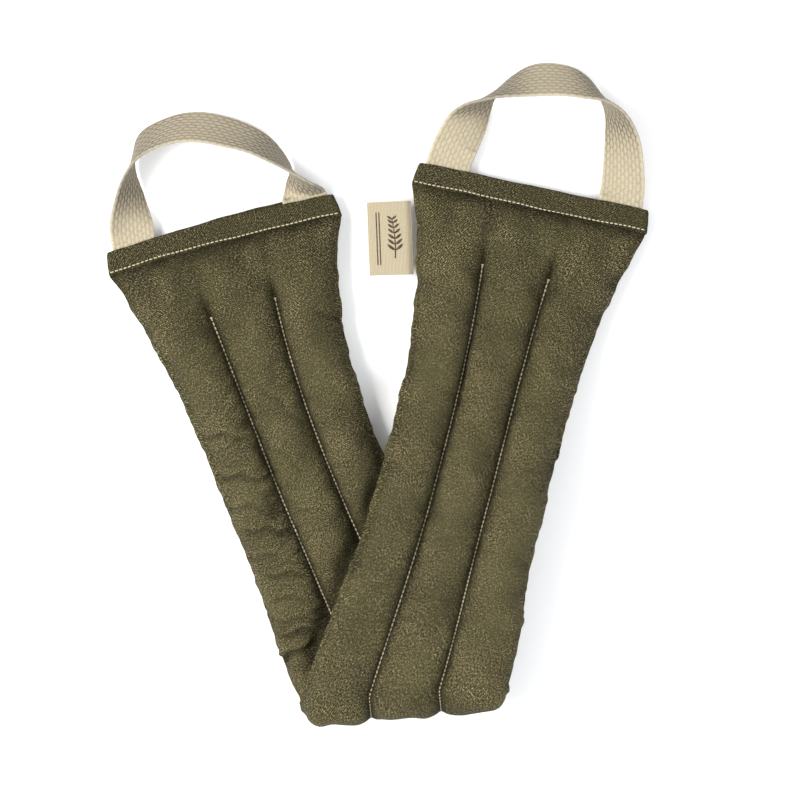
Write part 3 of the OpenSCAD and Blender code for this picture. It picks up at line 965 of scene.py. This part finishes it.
def even_rows(high, low, step):
    """The same edges, at an even spacing."""
    middle = (high + low) / 2.0
    travel = np.append(0.0, np.cumsum(np.linalg.norm(np.diff(middle, axis=0), axis=1)))
    places = np.linspace(0.0, travel[-1], int(round(travel[-1] / step)) + 1)
    pick = [np.stack([np.interp(places, travel, e[:, i]) for i in range(3)], 1)
            for e in (high, low)]
    return places, pick[0], pick[1]


def weave(along, k):
    """Height of the woven knots, 0 to 1, between wavy lines that run along the webbing.

    k runs from 0 to 1 across it. Neighbouring lines wave in opposite ways."""
    row = k * ROWS
    below = np.floor(row)
    wave = LINE_WAVE * (1.0 - 2.0 * (below % 2.0)) * np.sin(2.0 * math.pi * along / KNOT_LEN)
    gap = np.minimum(np.abs(row - below - wave), np.abs(row - below - 1.0 + wave))
    knot = 0.75 + 0.25 * np.cos(4.0 * math.pi * along / KNOT_LEN)
    return smooth(0.0, 0.42, gap) * knot


def build_handle(end, rows, step):
    """The webbing of one handle, from inside the hem, round the loop and back inside."""
    full = [ROOT, FOOT] + rows + [mirrored(FOOT), mirrored(ROOT)]
    high, low = loop_edges(full, 40)
    places, high, low = even_rows(high, low, step)
    high = end.place(high[:, 0], high[:, 1], high[:, 2])
    low = end.place(low[:, 0], low[:, 1], low[:, 2])
    columns = int(round(WEB_W / step))
    ks = np.linspace(0.0, 1.0, columns + 1)
    grid = high[:, None, :] * (1.0 - ks)[None, :, None] + low[:, None, :] * ks[None, :, None]
    along = np.gradient(grid, axis=0)
    across = np.gradient(grid, axis=1)
    normal = np.cross(along, across)
    normal = normal / np.linalg.norm(normal, axis=2, keepdims=True)
    wobble = ripple(grid.reshape(-1, 3), 16.0, 8).reshape(grid.shape[:2])
    free = smooth(16.0, 40.0, places) * smooth(16.0, 40.0, places[-1] - places)
    grid = grid + normal * (0.35 * wobble * free[:, None])[:, :, None]
    edge = np.sqrt(np.clip(1.0 - (2.0 * ks - 1.0) ** 12, 0.0, 1.0))
    points, relief = [], []
    for side in (1.0, -1.0):
        pattern = weave(places[:, None] + (0.0 if side > 0 else KNOT_LEN / 2.0), ks[None, :])
        inside = smooth(9.0, 13.0, places) * smooth(9.0, 13.0, places[-1] - places)
        shown = pattern * inside[:, None]
        half = (WEB_T / 2.0 - RELIEF * 0.5) * edge[None, :] + RELIEF * shown
        half[:, (0, -1)] = 0.12
        points.append(grid + side * normal * half[:, :, None])
        relief.append(pattern)
    n, m = grid.shape[:2]
    verts = np.concatenate([points[0].reshape(-1, 3), points[1].reshape(-1, 3)])
    faces = []
    for i in range(n - 1):
        for j in range(m - 1):
            a = i * m + j
            faces.append((a, a + m, a + m + 1, a + 1))
            b = n * m + a
            faces.append((b, b + 1, b + m + 1, b + m))
        for j, turned in ((0, True), (m - 1, False)):
            a = i * m + j
            b = n * m + a
            quad = (a, b, b + m, a + m)
            faces.append(tuple(reversed(quad)) if turned else quad)
    for i, turned in ((0, False), (n - 1, True)):
        for j in range(m - 1):
            a = i * m + j
            quad = (a, a + 1, n * m + a + 1, n * m + a)
            faces.append(tuple(reversed(quad)) if turned else quad)
    obj = new_object(end.arm.side + "_handle_webbing", verts, faces)
    face_outwards(obj)
    # relief and tilt also drive the webbing material's painted shade in the weave's hollows and on steep
    # faces
    point_value(obj, "relief", np.concatenate([r.ravel() for r in relief]))
    tilt = 1.0 - np.abs(normal[:, :, 2]).ravel()
    point_value(obj, "tilt", np.concatenate([tilt, tilt]))
    lengthwise = np.repeat(places, m)
    point_value(obj, "length", np.concatenate([lengthwise, lengthwise + KNOT_LEN / 2.0]) / KNOT_LEN)
    point_value(obj, "row", np.tile(ks * ROWS, 2 * n))
    edge_pale = np.tile((np.abs(ks - 0.5) > 0.465) * 1.0, n)
    point_value(obj, "selvage", np.concatenate([edge_pale, edge_pale]))
    smooth_shade(obj)
    return obj


def handle_blend(obj, end):
    """The webbing stays with the hem up to the hinge and turns with the loop after it."""
    side = end.arm.side
    start = end.place(0.0, HINGE_OUT - 1.3, 0.0) * MM
    stop = end.place(0.0, HINGE_OUT + 1.3, 0.0) * MM
    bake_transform(obj, side + "_outer", side + "_handle", start=tuple(start), end=tuple(stop))


# ---------------------------------------------------------------- label
LABEL_LEN = 42.0
LABEL_W = 25.0
LABEL_T = 0.5
LABEL_PRINT = 0.06


def label_axes():
    """Middle of the label's root, the way along the seam and the way out of it."""
    low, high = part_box("tape_label")
    along = joint_axis("label_hinge")
    out = np.cross(UP, along)
    centre = (np.array(low) + np.array(high)) / 2.0 / MM
    out = out * np.sign(np.dot(out, centre - joint_place("label_hinge")))
    reach = np.dot(centre - joint_place("label_hinge"), out) * 2.0
    root = centre - out * (reach / 2.0)
    return root, along, out


def label_height(w, a):
    """The tape isn't quite flat: it bows a little along its length."""
    return 0.5 * np.sin(a / LABEL_LEN * 2.4 + 0.6) * smooth(2.0, 16.0, w)


def build_label():
    """A tape folded in two at its outer edge, its cut ends sewn into the seam."""
    root, along, out = label_axes()
    path = [(0.0, -1.0)] + [(w, -1.0) for w in np.linspace(2.0, LABEL_W - 1.2, 12)]
    bend = [(LABEL_W - 1.0 + math.sin(a), -math.cos(a)) for a in np.linspace(0.35, 2.8, 6)]
    path = path + bend + [(w, -z) for w, z in reversed(path)]
    path = np.array(path)
    step = np.gradient(path, axis=0)
    side = np.stack([step[:, 1], -step[:, 0]], 1)
    side = side / np.linalg.norm(side, axis=1, keepdims=True)
    faces_out = path + side * LABEL_T / 2.0
    faces_in = path - side * LABEL_T / 2.0
    ring = np.concatenate([faces_out, faces_in[::-1]])
    columns = np.linspace(-LABEL_LEN / 2.0, LABEL_LEN / 2.0, 43)
    points, relief = [], []
    for a in columns:
        z = ring[:, 1] * 0.55 * smooth(-3.0, 5.0, ring[:, 0]) + ring[:, 1] * 0.05
        z = z + label_height(ring[:, 0], a)
        place = root + a * along + ring[:, :1] * out + z[:, None] * UP
        points.extend(place)
        relief.extend(ring[:, 0] * MM)
    n = len(ring)
    faces = ring_faces(len(columns), n)
    half = len(path)
    for k, turned in ((0, False), (len(columns) - 1, True)):
        for c in range(half - 1):
            quad = (k * n + c, k * n + c + 1, k * n + n - 2 - c, k * n + n - 1 - c)
            faces.append(tuple(reversed(quad)) if turned else quad)
    obj = new_object("label_tape", points, faces)
    face_outwards(obj)
    point_value(obj, "out", relief)
    return obj


SPRIG_LEN = 23.0
SPRIG_OUT = 10.0


def sprig_strokes():
    """A herb sprig as strokes: each a list of (w, a, half-width), w out of the seam."""
    def stem(k):
        return SPRIG_OUT + 3.2 * (k - 0.5) * (k - 0.1), SPRIG_LEN * (k - 0.5)

    strokes = [[(*stem(k), 0.34 - 0.14 * k) for k in np.linspace(0.0, 1.0, 13)]]
    for k in (0.2, 0.34, 0.48, 0.62, 0.75, 0.87, 0.97):
        w, a = stem(k)
        reach = 6.2 * (1.0 - 0.5 * k)
        for turn in (-1.0, 1.0):
            leaf = []
            for j in np.linspace(0.0, 1.0, 8):
                thick = 0.10 + 0.95 * math.sin(math.pi * j) ** 0.8 * (1.0 - 0.35 * k)
                leaf.append((w + turn * reach * 0.8 * j ** 0.85, a + 0.62 * reach * j, thick * 0.8))
            strokes.append(leaf)
    return strokes


def build_print():
    """The printed sprig and two ruled lines, a thin raised film on the label's top."""
    root, along, out = label_axes()
    strokes = sprig_strokes()
    for w in (18.6, 20.2):
        strokes.append([(w, a, 0.26) for a in np.linspace(-15.0, 15.0, 16)])
    points, faces = [], []
    for stroke in strokes:
        line = np.array(stroke)
        step = np.gradient(line[:, :2], axis=0)
        side = np.stack([-step[:, 1], step[:, 0]], 1)
        side = side / np.maximum(np.linalg.norm(side, axis=1, keepdims=True), 1e-9)
        base = len(points)
        for (w, a, half), (sw, sa) in zip(stroke, side):
            for way, lift in ((-1.0, LABEL_PRINT), (1.0, LABEL_PRINT), (1.0, -0.1), (-1.0, -0.1)):
                pw = w + sw * half * way
                pa = a + sa * half * way
                z = 0.6 * smooth(-3.0, 5.0, pw) + 0.03 + LABEL_T / 2.0 * 0.6 + 0.12
                z = z + label_height(pw, pa) + lift
                points.append(root + pa * along + pw * out + z * UP)
        faces += ring_faces(len(stroke), 4, base)
        last = base + (len(stroke) - 1) * 4
        faces.append((base + 3, base + 2, base + 1, base))
        faces.append((last, last + 1, last + 2, last + 3))
    return new_object("label_print", points, faces)


# ---------------------------------------------------------------- materials
class Shader:
    """A node material built up step by step."""

    def __init__(self, name):
        self.material = bpy.data.materials.new(name)
        self.material.use_nodes = True
        self.tree = self.material.node_tree
        self.tree.nodes.clear()
        self.surface = self.node("ShaderNodeBsdfPrincipled")
        output = self.node("ShaderNodeOutputMaterial")
        self.join(self.surface.outputs[0], output.inputs[0])

    def node(self, kind, **values):
        made = self.tree.nodes.new(kind)
        for key, value in values.items():
            setattr(made, key, value)
        return made

    def join(self, source, target):
        self.tree.links.new(source, target)

    def feed(self, target, value):
        if isinstance(value, bpy.types.NodeSocket):
            self.join(value, target)
        else:
            target.default_value = value

    def point(self, name):
        return self.node("ShaderNodeAttribute", attribute_name=name).outputs["Fac"]

    def coords(self):
        return self.node("ShaderNodeTexCoord").outputs["Object"]

    def vector(self, x, y, z):
        made = self.node("ShaderNodeCombineXYZ")
        for socket, value in zip(made.inputs, (x, y, z)):
            self.feed(socket, value)
        return made.outputs[0]

    def math(self, kind, a, b=0.0, c=0.0):
        made = self.node("ShaderNodeMath", operation=kind)
        for socket, value in zip(made.inputs, (a, b, c)):
            self.feed(socket, value)
        return made.outputs[0]

    def noise(self, vector, scale, detail=3.0, rough=0.55):
        made = self.node("ShaderNodeTexNoise")
        self.feed(made.inputs["Vector"], vector)
        made.inputs["Scale"].default_value = scale
        made.inputs["Detail"].default_value = detail
        made.inputs["Roughness"].default_value = rough
        return made.outputs["Fac"]

    def stretch(self, value, low, high, out_low=0.0, out_high=1.0):
        made = self.node("ShaderNodeMapRange", interpolation_type="SMOOTHSTEP")
        for socket, entry in zip(made.inputs, (value, low, high, out_low, out_high)):
            self.feed(socket, entry)
        return made.outputs[0]

    def blend(self, factor, a, b):
        made = self.node("ShaderNodeMix", data_type="RGBA")
        self.feed(made.inputs["Factor"], factor)
        for socket, value in ((made.inputs["A"], a), (made.inputs["B"], b)):
            if not isinstance(value, bpy.types.NodeSocket):
                value = (*value, 1.0)
            self.feed(socket, value)
        return made.outputs["Result"]

    def scale_colour(self, colour, factor):
        made = self.node("ShaderNodeMix", data_type="RGBA", blend_type="MULTIPLY")
        made.inputs["Factor"].default_value = 1.0
        self.feed(made.inputs["A"], colour)
        grey = self.node("ShaderNodeCombineColor")
        for socket in grey.inputs:
            self.feed(socket, factor)
        self.feed(made.inputs["B"], grey.outputs[0])
        return made.outputs["Result"]

    def finish(self, colour, rough, height=None, distance=0.0002, sheen=0.0):
        self.feed(self.surface.inputs["Base Color"], colour)
        self.feed(self.surface.inputs["Roughness"], rough)
        self.surface.inputs["Specular IOR Level"].default_value = 0.12
        self.surface.inputs["Sheen Weight"].default_value = sheen
        self.surface.inputs["Sheen Roughness"].default_value = 0.6
        if height is not None:
            bump = self.node("ShaderNodeBump")
            bump.inputs["Strength"].default_value = 1.0
            bump.inputs["Distance"].default_value = distance
            self.feed(bump.inputs["Height"], height)
            self.join(bump.outputs[0], self.surface.inputs["Normal"])
        return self.material


def srgb(red, green, blue):
    """Linear colour from everyday 0 to 255 values."""
    def linear(value):
        value = value / 255.0
        return value / 12.92 if value <= 0.04045 else ((value + 0.055) / 1.055) ** 2.4
    return (linear(red), linear(green), linear(blue))


WEAVE_PITCH = 0.00155   # metres from one diagonal rib to the next
FLECK_SCALE = 1020.0    # flecks to a metre
GREEN_CUT = 0.97        # a little less green than the tones below
CLOTH_SHADE = 0.735
HEM_SHADE = 0.50        # the hems' flat cloth takes more light, so it is toned down


def cloth_material(name, shade):
    """Heathered olive cloth: flecked yarns in a fine diagonal weave, with painted shade: darker in its seam
    valleys, creases and beside its hems, slightly paler on its crests.
    """
    sh = Shader(name)
    along = sh.point("along")
    across = sh.point("across")
    place = sh.vector(across, along, 0.0)
    diagonal = sh.math("ADD", across, along)
    other = sh.math("SUBTRACT", across, along)
    wobble = sh.math("MULTIPLY", sh.noise(place, 300.0, 2.0), 0.9 * WEAVE_PITCH)
    turns = 2.0 * math.pi / WEAVE_PITCH
    warp = sh.math("SINE", sh.math("MULTIPLY", sh.math("ADD", other, wobble), turns))
    weft = sh.math("SINE", sh.math("MULTIPLY", sh.math("ADD", diagonal, wobble), turns))
    knots = sh.stretch(sh.math("ADD", warp, sh.math("MULTIPLY", weft, 0.55)), -1.3, 1.3)
    yarns = sh.vector(sh.math("MULTIPLY", diagonal, 0.6), other, 0.0)
    fleck = sh.noise(yarns, FLECK_SCALE, 2.0, 0.7)
    fibre = sh.noise(place, 1500.0, 2.0, 0.6)
    cloud = sh.noise(place, 95.0, 3.0, 0.6)
    patch = sh.noise(place, 24.0, 2.0, 0.5)

    def tone(red, green, blue):
        return tuple(shade * c for c in srgb(red, GREEN_CUT * green, blue))

    colour = sh.blend(sh.stretch(fleck, 0.40, 0.54), tone(24, 29, 10), tone(80, 77, 46))
    colour = sh.blend(sh.math("MULTIPLY", sh.stretch(fleck, 0.52, 0.66), 0.80), colour,
                      tone(168, 157, 120))
    colour = sh.blend(sh.math("MULTIPLY", sh.stretch(cloud, 0.35, 0.7), 0.25), colour,
                      tone(96, 88, 62))
    colour = sh.blend(sh.math("MULTIPLY", sh.stretch(patch, 0.35, 0.65), 0.3), colour,
                      tone(66, 68, 38))
    # painted shade: darkest in the seam valleys and slightly paler on the crests, multiplied by the painted
    # shade in creases and beside the hems
    painted_shade = sh.stretch(sh.point("crest"), 0.12, 0.80, 0.42, 1.04)
    painted_shade = sh.math("MULTIPLY", painted_shade, sh.point("shade"))
    woven = sh.stretch(knots, 0.1, 0.9, 0.52, 1.34)
    grain = sh.stretch(fibre, 0.32, 0.68, 0.72, 1.28)
    colour = sh.scale_colour(colour, sh.math("MULTIPLY", sh.math("MULTIPLY", painted_shade, woven), grain))
    height = sh.math("ADD", sh.math("MULTIPLY", knots, 0.6), sh.math("MULTIPLY", fibre, 0.7))
    rough = sh.stretch(cloud, 0.2, 0.8, 0.78, 0.92)
    return sh.finish(colour, rough, height, 0.00022)


def webbing_material():
    """Natural cotton webbing with painted shade between its ridges and on its steep faces, and pale along
    its edges.
    """
    sh = Shader("cotton_webbing")
    place = sh.coords()
    row = sh.point("row")
    part = sh.math("FRACT", row)
    odd = sh.math("MODULO", sh.math("FLOOR", row), 2.0)
    turn = sh.math("SINE", sh.math("MULTIPLY", sh.point("length"), 2.0 * math.pi))
    sign = sh.math("MULTIPLY_ADD", odd, -2.0, 1.0)
    uneven = sh.stretch(sh.noise(place, 330.0, 2.0), 0.3, 0.7, 0.3 * LINE_WAVE, 1.7 * LINE_WAVE)
    wave = sh.math("MULTIPLY", sh.math("MULTIPLY", sign, turn), uneven)
    under = sh.math("ABSOLUTE", sh.math("SUBTRACT", part, wave))
    over = sh.math("ABSOLUTE", sh.math("ADD", sh.math("SUBTRACT", part, 1.0), wave))
    lines = sh.stretch(sh.math("MINIMUM", under, over), 0.0, 0.36)
    knots = sh.stretch(sh.point("relief"), 0.15, 0.9)
    relief = sh.math("ADD", sh.math("MULTIPLY", lines, 0.6), sh.math("MULTIPLY", knots, 0.4))
    steep_shade = sh.stretch(sh.point("tilt"), 0.05, 0.5)
    fine = sh.noise(place, 1500.0, 2.0, 0.6)
    cloud = sh.noise(place, 120.0, 3.0, 0.55)
    # painted shade: the hollows between ridges are darker, more so on steep faces
    line = sh.blend(steep_shade, srgb(152, 140, 114), srgb(98, 84, 66))
    colour = sh.blend(relief, line, srgb(172, 163, 142))
    colour = sh.blend(sh.math("MULTIPLY", sh.stretch(cloud, 0.4, 0.7), 0.25), colour,
                      srgb(156, 144, 121))
    colour = sh.blend(sh.math("MULTIPLY", sh.point("selvage"), 0.7), colour,
                      srgb(190, 182, 162))
    grain = sh.stretch(fine, 0.3, 0.7, 0.86, 1.08)
    # painted shade: the webbing's steep faces are darker
    shaded = sh.stretch(sh.point("tilt"), 0.05, 0.55, 0.96, 0.70)
    colour = sh.scale_colour(colour, sh.math("MULTIPLY", grain, shaded))
    return sh.finish(colour, 0.85, fine, 0.0003, 0.1)


def thread_material():
    sh = Shader("cream_thread")
    place = sh.coords()
    strand = sh.noise(place, 2600.0, 2.0, 0.6)
    colour = sh.blend(sh.stretch(strand, 0.3, 0.7), srgb(154, 141, 111), srgb(202, 190, 160))
    return sh.finish(colour, 0.7, strand, 0.0001, 0.1)


def tape_material():
    """Cream cotton tape with fine ribs, and painted shade where it goes into the seam."""
    sh = Shader("label_cotton_tape")
    place = sh.coords()
    out = sh.point("out")
    ribs = sh.math("SINE", sh.math("MULTIPLY", out, 2.0 * math.pi / 0.0008))
    fine = sh.noise(place, 1800.0, 2.0, 0.6)
    cloud = sh.noise(place, 90.0, 3.0, 0.55)
    colour = sh.blend(sh.stretch(ribs, -1.0, 1.0), srgb(148, 138, 114), srgb(171, 160, 136))
    colour = sh.blend(sh.math("MULTIPLY", sh.stretch(cloud, 0.4, 0.7), 0.3), colour,
                      srgb(164, 150, 122))
    # painted shade where the tape goes into the seam
    seam_shade = sh.stretch(out, 0.0008, 0.004, 0.62, 1.0)
    grain = sh.stretch(fine, 0.3, 0.7, 0.9, 1.06)
    colour = sh.scale_colour(colour, sh.math("MULTIPLY", seam_shade, grain))
    height = sh.math("ADD", sh.math("MULTIPLY", ribs, 0.3), fine)
    return sh.finish(colour, 0.85, height, 0.00015, 0.1)


def ink_material():
    sh = Shader("brown_ink")
    patch = sh.noise(sh.coords(), 1400.0, 2.0, 0.6)
    colour = sh.blend(sh.stretch(patch, 0.35, 0.7), srgb(48, 40, 32), srgb(92, 78, 60))
    return sh.finish(colour, 0.8, patch, 0.00005)


def grain_material():
    """Wheat grain and crushed dried herbs."""
    sh = Shader("grain_and_herbs")
    cells = sh.node("ShaderNodeTexVoronoi")
    sh.feed(cells.inputs["Vector"], sh.coords())
    cells.inputs["Scale"].default_value = 320.0
    tint = sh.noise(sh.coords(), 300.0, 2.0)
    colour = sh.blend(sh.stretch(tint, 0.35, 0.65), srgb(150, 118, 70), srgb(96, 104, 58))
    height = sh.math("MULTIPLY", cells.outputs["Distance"], -1.0)
    return sh.finish(colour, 0.8, height, 0.0008)


# ---------------------------------------------------------------- studio
CAMERA_AWAY = 1.702
CAMERA_LENS = 133.0
CAMERA_SHIFT = (0.0129, -0.0040, 0.0)
FLOOR_GLOW = 0.03       # a light table, so that shadows on it stay pale
AMBIENT = 0.67
KEY_POWER = 56.0
FILL_POWER = 26.0


def floor_material():
    sh = Shader("pale_floor")
    patch = sh.noise(sh.coords(), 8.0, 2.0)
    colour = sh.blend(sh.stretch(patch, 0.3, 0.7), (0.93, 0.93, 0.93), (0.94, 0.94, 0.94))
    sh.surface.inputs["Emission Color"].default_value = (0.97, 0.985, 1.0, 1.0)
    sh.surface.inputs["Emission Strength"].default_value = FLOOR_GLOW
    return sh.finish(colour, 0.9)


def build_studio():
    low, high = cad_box
    centre = (Vector(low) + Vector(high)) / 2.0
    floor = new_object("floor", [(-1500, -1500, 0), (1500, -1500, 0), (1500, 1500, 0),
                                 (-1500, 1500, 0)], [(0, 1, 2, 3)])
    floor.location = (centre.x, centre.y, low[2] - 0.0003)
    floor.data.materials.append(floor_material())

    world = bpy.data.worlds.new("studio")
    world.use_nodes = True
    bpy.context.scene.world = world
    tree = world.node_tree
    background = tree.nodes["Background"]
    background.inputs[0].default_value = (0.98, 0.99, 1.0, 1.0)
    sky = tree.nodes.new("ShaderNodeTexCoord")
    parts = tree.nodes.new("ShaderNodeSeparateXYZ")
    ramp = tree.nodes.new("ShaderNodeMapRange")
    tree.links.new(sky.outputs["Generated"], parts.inputs[0])
    tree.links.new(parts.outputs[2], ramp.inputs["Value"])
    ramp.inputs["From Min"].default_value = 0.0
    ramp.inputs["From Max"].default_value = 1.0
    ramp.inputs["To Min"].default_value = AMBIENT * 0.45
    ramp.inputs["To Max"].default_value = AMBIENT * 1.35
    tree.links.new(ramp.outputs[0], background.inputs[1])

    def area(name, spot, size, power, colour):
        light = bpy.data.lights.new(name, "AREA")
        light.size = size
        light.energy = power
        light.color = colour
        obj = bpy.data.objects.new(name, light)
        obj.location = centre + Vector(spot)
        aim = centre - obj.location
        obj.rotation_mode = "QUATERNION"
        obj.rotation_quaternion = aim.to_track_quat("-Z", "Y")
        bpy.context.scene.collection.objects.link(obj)

    area("key", (-1.3, -0.1, 1.4), 1.0, KEY_POWER, (1.0, 0.985, 0.96))
    area("fill", (1.1, -0.6, 1.6), 1.4, FILL_POWER, (0.96, 0.98, 1.0))

    camera = bpy.data.objects.new("camera", bpy.data.cameras.new("camera"))
    camera.data.sensor_width = 36.0
    camera.data.lens = CAMERA_LENS
    camera.data.clip_start = 0.05
    target = Vector((centre.x, centre.y, 0.0)) + Vector(CAMERA_SHIFT)
    camera.location = target + Vector((0.0, 0.0, CAMERA_AWAY))
    bpy.context.scene.collection.objects.link(camera)
    bpy.context.scene.camera = camera
    bpy.context.scene.view_settings.view_transform = "Standard"
    bpy.context.scene.view_settings.look = "None"


# ---------------------------------------------------------------- assembly
def fill_nodes(body):
    return ["%s_fill_%d" % (body, i) for i in (1, 2, 3)]


def make_strip_pieces(cloth, thread):
    """The cover, its fill and its channel seams, each in three pieces that bend."""
    strip = build_strip()
    puff_up(strip)
    strip = subdivide(strip)
    detail_cover(strip)
    stitches = channel_stitches(strip)
    covers = split_strip(strip, "cover", True, cloth)
    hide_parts("left_outer_top_panel", "left_outer_bottom_panel")
    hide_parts("fold_cover", "left_inner_top_panel", "left_inner_bottom_panel",
                "right_inner_top_panel", "right_inner_bottom_panel")
    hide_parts("right_outer_top_panel", "right_outer_bottom_panel")

    fills = split_strip(build_fill(), "fill", False, grain_material())
    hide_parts(*fill_nodes("left_outer"))
    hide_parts("fold_fill", *fill_nodes("left_inner"), *fill_nodes("right_inner"))
    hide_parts(*fill_nodes("right_outer"))

    seams = split_strip(stitches, "stitching", False, thread)
    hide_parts("left_outer_seams")
    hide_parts("left_inner_seams", "right_inner_seams")
    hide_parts("right_outer_seams")


def add_rigid(obj, material, body, node):
    """The piece rides one body and stands in for one part of the frame."""
    obj.data.materials.append(material)
    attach(obj, body)
    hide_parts(node)


def make_end_pieces(arm, loop, seed, hem_cloth, thread, webbing):
    """One arm's hem, its topstitching and its handle."""
    end = End(arm)
    outer = arm.side + "_outer"
    add_rigid(build_hem(end, seed), hem_cloth, outer, arm.side + "_hem")
    add_rigid(hem_stitches(end, seed), thread, outer, arm.side + "_hem_stitching")
    handle = build_handle(end, loop, WEB_STEP)
    handle.data.materials.append(webbing)
    handle_blend(handle, end)
    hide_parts(arm.side + "_handle_loop", arm.side + "_handle_tails")


def main():
    np.random.seed(SEED)
    cloth = cloth_material("olive_twill", CLOTH_SHADE)
    hem_cloth = cloth_material("olive_twill_hem", HEM_SHADE)
    thread = thread_material()
    webbing = webbing_material()
    make_strip_pieces(cloth, thread)
    for arm, loop, seed in ((LEFT, LEFT_LOOP, 11), (RIGHT, RIGHT_LOOP, 15)):
        make_end_pieces(arm, loop, seed, hem_cloth, thread, webbing)
    add_rigid(build_label(), tape_material(), "label", "tape_label")
    sprig = build_print()
    sprig.data.materials.append(ink_material())
    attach(sprig, "label")
    build_studio()


main()
